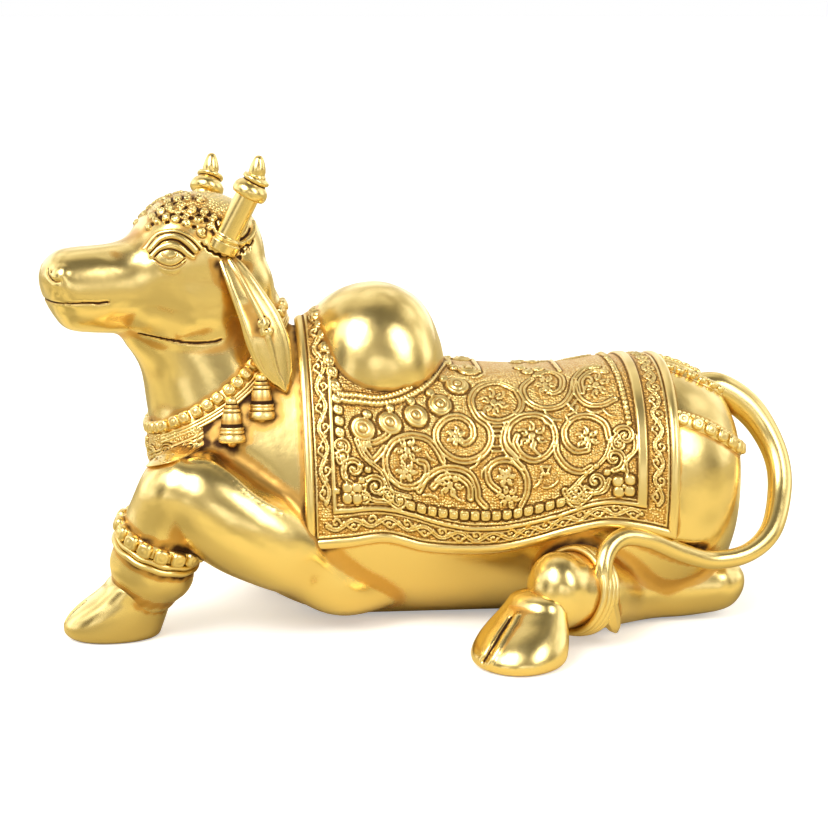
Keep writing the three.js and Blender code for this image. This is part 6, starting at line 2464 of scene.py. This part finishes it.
class NANDI_OT_crupper(bpy.types.Operator):
    """Beaded straps that hold the cloth's rear under the tail"""

    bl_idname = "nandi.crupper"
    bl_label = "Crupper straps"
    bl_options = {"REGISTER", "UNDO"}

    def execute(self, context):
        half = in_millimetres(context.scene.nandi_ornaments).strap_width / 2
        surfaces = skin_of_bull()[:1]
        profile = [
            (-half, -1.5), (-half, 0.3), (-half + 0.5, 0.8), (half - 0.5, 0.8), (half, 0.3), (half, -1.5)]
        for name, (points, size) in STRAPS.items():
            for side_name, handed in (("left", -1), ("right", 1)):
                aims = curve(np.array(points, float) * (1, handed, 1), STRAP_PLACES)
                x = aims[:, 0]
                starts = np.stack([np.minimum(x, STRAP_REAR_START), 0 * x, 0 * x + STRAP_START_LEVEL], -1)
                spots = soft_loop(cast_out(surfaces, starts, aims), STRAP_PASSES)
                piece, along, normals, across = band("strap", spots, unit(spots - starts), profile, False)
                up = np.sign(across[STRAP_PLACES // 2, 2])
                large = (size, STRAP_BEAD_HEIGHT, size + STRAP_BEAD_GAP)
                rows = (
                    (large, -up * (half - size * STRAP_BEAD_INSET)),
                    (SMALL_STRAP_BEADS, up * (half - SMALL_BEAD_INSET)),
                )
                parts = [piece] + [
                    bead_row("beads", spots, along, across, normals, *beads, STRAP_LIFT, shift)
                    for beads, shift in rows
                ]
                piece = joined(f"{name}_{side_name}", parts)
                hand_over(context, piece, "carved_brass", FINE_WEAR_REACH)
        return {"FINISHED"}


# Patina in the seams, and painted shade a few millimetres out from them where one piece shades another, as
# under the ears and the bells: the piece that darkens, the pieces beside it, reach in millimetres, strength
SEAMS = [
    ("head", ("ear_",), 5.0, 0.3),
    ("head", ("necklace", "bell_"), 2.4, 0.24),
    ("head", ("horn_",), 1.6, 0.2),
    ("hide", ("bell_", "chest_plate"), 4.4, 0.27),
    ("hide", ("saddle_cloth", "necklace", "crupper", "ear_"), 2.4, 0.22),
    ("hide", ("anklet_front",), 4.0, 0.34),
    ("hide", ("tail", "hind_left", "front_left", "anklet_hind"), 4.0, 0.24),
    ("saddle_cloth_left", ("ear_left",), 7.0, 0.2),
    ("ear_left", ("head", "hide"), 2.4, 0.18),
    ("ear_right", ("head", "hide"), 2.4, 0.18),
    ("hind_left", ("hide",), 3.0, 0.2),
    ("front_left", ("hide",), 2.0, 0.2),
    ("tail", ("hide", "saddle_cloth"), 1.8, 0.2),
    ("bell_left_1", ("hide", "necklace"), 3.4, 0.14),
    ("bell_left_2", ("hide", "necklace"), 3.4, 0.14),
]
SEAM_EVEN = 0.78  # the share of the patina and painted shade in a seam that is the same all along it


def nearness(piece, other, reach):
    """1 at the points of a piece that touch another, falling to 0 at the reach from it."""
    surface = surface_of(other)
    points, beside = place(read_points(piece)), place(read_points(other))
    close = ((points >= beside.min(0) - reach) & (points <= beside.max(0) + reach)).all(1)
    near = np.zeros(len(points))
    for i in np.flatnonzero(close):
        gap = surface.find_nearest(Vector(points[i]), reach)[3]
        if gap is not None:
            near[i] = 1 - gap / reach
    return near


class NANDI_OT_seam_patina_and_shade(bpy.types.Operator):
    """Dark patina in the seams where one piece lies against another, and painted shade beside them where one
    piece shades another
    """

    bl_idname = "nandi.patina"
    bl_label = "Patina and painted shade in the seams"
    bl_options = {"REGISTER", "UNDO"}

    def execute(self, context):
        for name, beside, reach, strength in SEAMS:
            piece = bpy.data.objects[name]
            near = np.zeros(len(piece.data.vertices))
            for other in bpy.data.objects:
                if other.type == "MESH" and other.name.startswith(beside) and other != piece:
                    near = np.maximum(near, nearness(piece, other, reach * MM))
            x, y, z = read_points(piece).T
            uneven = SEAM_EVEN + (1 - SEAM_EVEN) * np.sin(0.55 * x + y) * np.sin(0.8 * z - 0.4 * x)
            # Added to the hollow, so the patina colour paints it: patina at the seam and painted shade out to
            # the reach
            store(piece, "hollow", read_values(piece, "hollow") + strength * near * uneven)
        return {"FINISHED"}


# The stage

FLOOR_METRES = 400
FLOOR_SHADE = 0.97
# Shares of that colour in the painted shade and the painted light of the floor's reflection
REFLECTED_SHADES = (0.62, 1.35)
# Noises of the floor, and of the patches of painted shade and painted light in the floor as the brass sees
# it: scale and detail
FLOOR_CLOUD = (3, 2)
REFLECTED_CLOUD = (4.2, 2)
FLOOR_ROUGHNESS = 0.8
FLOOR_SHEEN = 0.1
SENSOR_MM = 36
# Soft lights: azimuth, elevation, metres from the figure, and sides in metres
KEY_LIGHT = (-38, 44, 0.9, (0.34, 0.5))
FILL_LIGHT = (42, 30, 1.0, (0.3, 0.6))


def shade(colour_value, share_of_light):
    return (*[min(part * share_of_light, 1) for part in colour_value], 1)


def pale_floor(stage):
    """A floor that is near white to the camera, and to the brass a dimmer, warmer colour: a painted
    reflection, in patches of painted shade and painted light.
    """
    material = bpy.data.materials.new("pale_floor")
    material.use_nodes = True
    tree = material.node_tree
    shader = tree.nodes["Principled BSDF"]
    where = tree.nodes.new("ShaderNodeTexCoord").outputs["Object"]
    tint = tree.nodes.new("ShaderNodeValToRGB")
    tint.color_ramp.elements[0].color = shade(stage.floor, FLOOR_SHADE)
    tint.color_ramp.elements[1].color = shade(stage.floor, 1)
    link(tree, noise(tree, where, *FLOOR_CLOUD).output, tint.inputs["Fac"])
    # The brass sees the floor in patches of painted shade and painted light
    shadow, sheen = (plain_colour(tree, shade(stage.painted_floor_reflection, each)) for each in REFLECTED_SHADES)
    patches = noise(tree, where, *REFLECTED_CLOUD).spread(0.4, 0.6)
    reflected = colour_mix(tree, patches, shadow, sheen)
    seen = Signal(tree, tree.nodes.new("ShaderNodeLightPath").outputs["Is Camera Ray"])
    link(tree, colour_mix(tree, seen, reflected, tint.outputs["Color"]), shader.inputs["Base Color"])
    shader.inputs["Roughness"].default_value = FLOOR_ROUGHNESS
    shader.inputs["Specular IOR Level"].default_value = FLOOR_SHEEN
    link(tree, seen.output, shader.inputs["Emission Color"])
    shader.inputs["Emission Strength"].default_value = stage.floor_glow
    return material


class NANDI_OT_stage(bpy.types.Operator):
    """Floor, soft lights and the camera of the photograph"""

    bl_idname = "nandi.stage"
    bl_label = "Stage"
    bl_options = {"REGISTER", "UNDO"}

    def execute(self, context):
        stage = context.scene.nandi_stage
        deselect()
        bpy.ops.mesh.primitive_plane_add(size=FLOOR_METRES, location=(0, 0, 0))
        floor = context.object
        floor.name = "floor"
        floor.data.materials.append(pale_floor(stage))
        eye, _, _, back = camera_axes()
        deselect()
        bpy.ops.object.camera_add(location=place(eye))
        camera = context.object
        camera.rotation_euler = Vector(back).to_track_quat("Z", "Y").to_euler()
        camera.data.sensor_width = SENSOR_MM
        camera.data.lens = SENSOR_MM * PHOTO_DISTANCE / (PHOTO_SIZE * PHOTO_SCALE)
        camera.data.clip_start = 0.01
        context.scene.camera = camera
        context.scene.view_settings.view_transform = "Standard"
        soft_light("key_light", *KEY_LIGHT, stage.key_power)
        soft_light("fill_light", *FILL_LIGHT, stage.fill_power)
        studio_world(context.scene, stage.room_light)
        return {"FINISHED"}


def way_from(azimuth, elevation):
    """A way out from the figure: azimuth 0 is the photographer's side, 90 the tail's side."""
    azimuth, elevation = math.radians(azimuth), math.radians(elevation)
    level = math.cos(elevation)
    return (math.sin(azimuth) * level, -math.cos(azimuth) * level, math.sin(elevation))


def soft_light(name, azimuth, elevation, distance, sides, power_watts):
    way = Vector(way_from(azimuth, elevation))
    deselect()
    bpy.ops.object.light_add(type="AREA", location=Vector(place(PHOTO_TARGET)) + way * distance)
    light = bpy.context.object
    light.name = name
    light.rotation_euler = way.to_track_quat("Z", "Y").to_euler()
    light.data.shape = "RECTANGLE"
    light.data.size, light.data.size_y = sides
    light.data.energy = power_watts


# The room that the brass reflects, from straight down (0) to straight up (1), in shares of its light
ROOM_LEVELS = [(0.0, 0.3), (0.46, 0.4), (0.52, 0.62), (0.68, 0.48), (0.84, 0.27), (0.92, 0.24), (1.0, 0.28)]
# Soft panels in it: azimuth, elevation, half width of the bright middle and of the whole, light
ROOM_PANELS = [
    (-30, 46, 7, 25, 3.6),
    (-66, 40, 4, 15, 2.2),
    (48, 34, 4, 19, 2.4),
    (-100, 20, 8, 38, 1.1),
    (100, 24, 8, 36, 0.9),
    (180, 26, 20, 75, 0.8),
    (4, 12, 6, 11, 0.8),
    (-40, 8, 3, 15, 0.9),
    (22, 6, 3, 12, 0.7),
]
# Dark gaps between them: azimuth, elevation, half widths as above, share of light taken
ROOM_GAPS = [
    (0, 72, 8, 26, 0.6),
    (12, 22, 1, 12, 0.5),
    (-62, 16, 2, 18, 0.6),
    (70, 4, 3, 20, 0.6),
    (-22, -14, 0, 20, 0.4),
]
# The light is uneven: a noise's scale and detail, where it is spread, and what it multiplies the light by
ROOM_CLOUD = (3.4, 2)
ROOM_CLOUD_SPREAD = (0.36, 0.64)
ROOM_CLOUD_MORE = 0.7
ROOM_CLOUD_LEAST = 0.6
# The dim parts have this colour and the bright ones turn white between these levels
ROOM_DIM_COLOUR = (1.0, 0.91, 0.66, 1.0)
ROOM_WHITE_SPREAD = (0.4, 1.5)


def room_patch(tree, where, azimuth, elevation, inner, outer):
    """A mask that is 1 in the middle of a patch of the room and 0 outside it."""
    dot = tree.nodes.new("ShaderNodeVectorMath")
    dot.operation = "DOT_PRODUCT"
    link(tree, where, dot.inputs[0])
    dot.inputs[1].default_value = way_from(azimuth, elevation)
    outside, inside = (math.cos(math.radians(each)) for each in (outer, inner))
    return Signal(tree, dot.outputs["Value"]).spread(outside, inside)


def studio_world(scene, light):
    """A pale room with soft panels and darker gaps, and plain white behind the figure."""
    world = bpy.data.worlds.new("studio")
    scene.world = world
    world.use_nodes = True
    tree = world.node_tree
    back = tree.nodes["Background"].inputs
    where = tree.nodes.new("ShaderNodeTexCoord").outputs["Generated"]
    parts = tree.nodes.new("ShaderNodeSeparateXYZ")
    link(tree, where, parts.inputs["Vector"])
    rise = tree.nodes.new("ShaderNodeValToRGB")
    stops = rise.color_ramp.elements
    for position, _ in ROOM_LEVELS[1:-1]:
        stops.new(position)
    for stop, (_, level) in zip(stops, ROOM_LEVELS):
        stop.color = (level, level, level, 1)
    half = (Signal(tree, parts.outputs["Z"]) + 1.0) * 0.5
    link(tree, half.output, rise.inputs["Fac"])
    total = Signal(tree, rise.outputs["Color"])
    for *patch, strength in ROOM_PANELS:
        total = total + room_patch(tree, where, *patch) * strength
    for *patch, taken in ROOM_GAPS:
        total = total * (room_patch(tree, where, *patch) * -taken + 1.0)
    uneven = noise(tree, where, *ROOM_CLOUD).spread(*ROOM_CLOUD_SPREAD)
    total = total * (uneven * ROOM_CLOUD_MORE + ROOM_CLOUD_LEAST)
    seen = Signal(tree, tree.nodes.new("ShaderNodeLightPath").outputs["Is Camera Ray"])
    dim, white = plain_colour(tree, ROOM_DIM_COLOUR), plain_colour(tree, (1, 1, 1, 1))
    whiteness = total.spread(*ROOM_WHITE_SPREAD).maths("MAXIMUM", seen)
    link(tree, colour_mix(tree, whiteness, dim, white), back["Color"])
    hidden = total * light * (seen * -1.0 + 1.0)
    link(tree, (hidden + seen).output, back["Strength"])


OPERATORS = (
    NANDI_OT_hide, NANDI_OT_head, NANDI_OT_ears, NANDI_OT_horns, NANDI_OT_hooves, NANDI_OT_tail,
    NANDI_OT_cloth, NANDI_OT_necklace, NANDI_OT_anklets, NANDI_OT_crupper, NANDI_OT_seam_patina_and_shade,
    NANDI_OT_stage,
)
GROUPS = {
    "nandi_body": NandiBody, "nandi_ornaments": NandiOrnaments, "nandi_finish": NandiFinish,
    "nandi_stage": NandiStage,
}


class NANDI_PT_panel(bpy.types.Panel):
    """The figure's pieces, with their sizes and colours"""

    bl_idname = "NANDI_PT_panel"
    bl_label = "Nandi Bull Figure"
    bl_space_type = "VIEW_3D"
    bl_region_type = "UI"
    bl_category = "Nandi"

    def draw(self, context):
        for each in OPERATORS:
            self.layout.operator(each.bl_idname)
        for name, group in GROUPS.items():
            box = self.layout.box()
            for key in group.__annotations__:
                box.prop(getattr(context.scene, name), key)


CLASSES = (*GROUPS.values(), *OPERATORS, NANDI_PT_panel)


def register():
    for each in CLASSES:
        bpy.utils.register_class(each)
    for name, group in GROUPS.items():
        setattr(bpy.types.Scene, name, bpy.props.PointerProperty(type=group))


def unregister():
    for name in GROUPS:
        delattr(bpy.types.Scene, name)
    for each in reversed(CLASSES):
        bpy.utils.unregister_class(each)


def main():
    register()
    for each in OPERATORS:
        group, name = each.bl_idname.split(".")
        getattr(getattr(bpy.ops, group), name)()


if __name__ == "__main__":
    main()
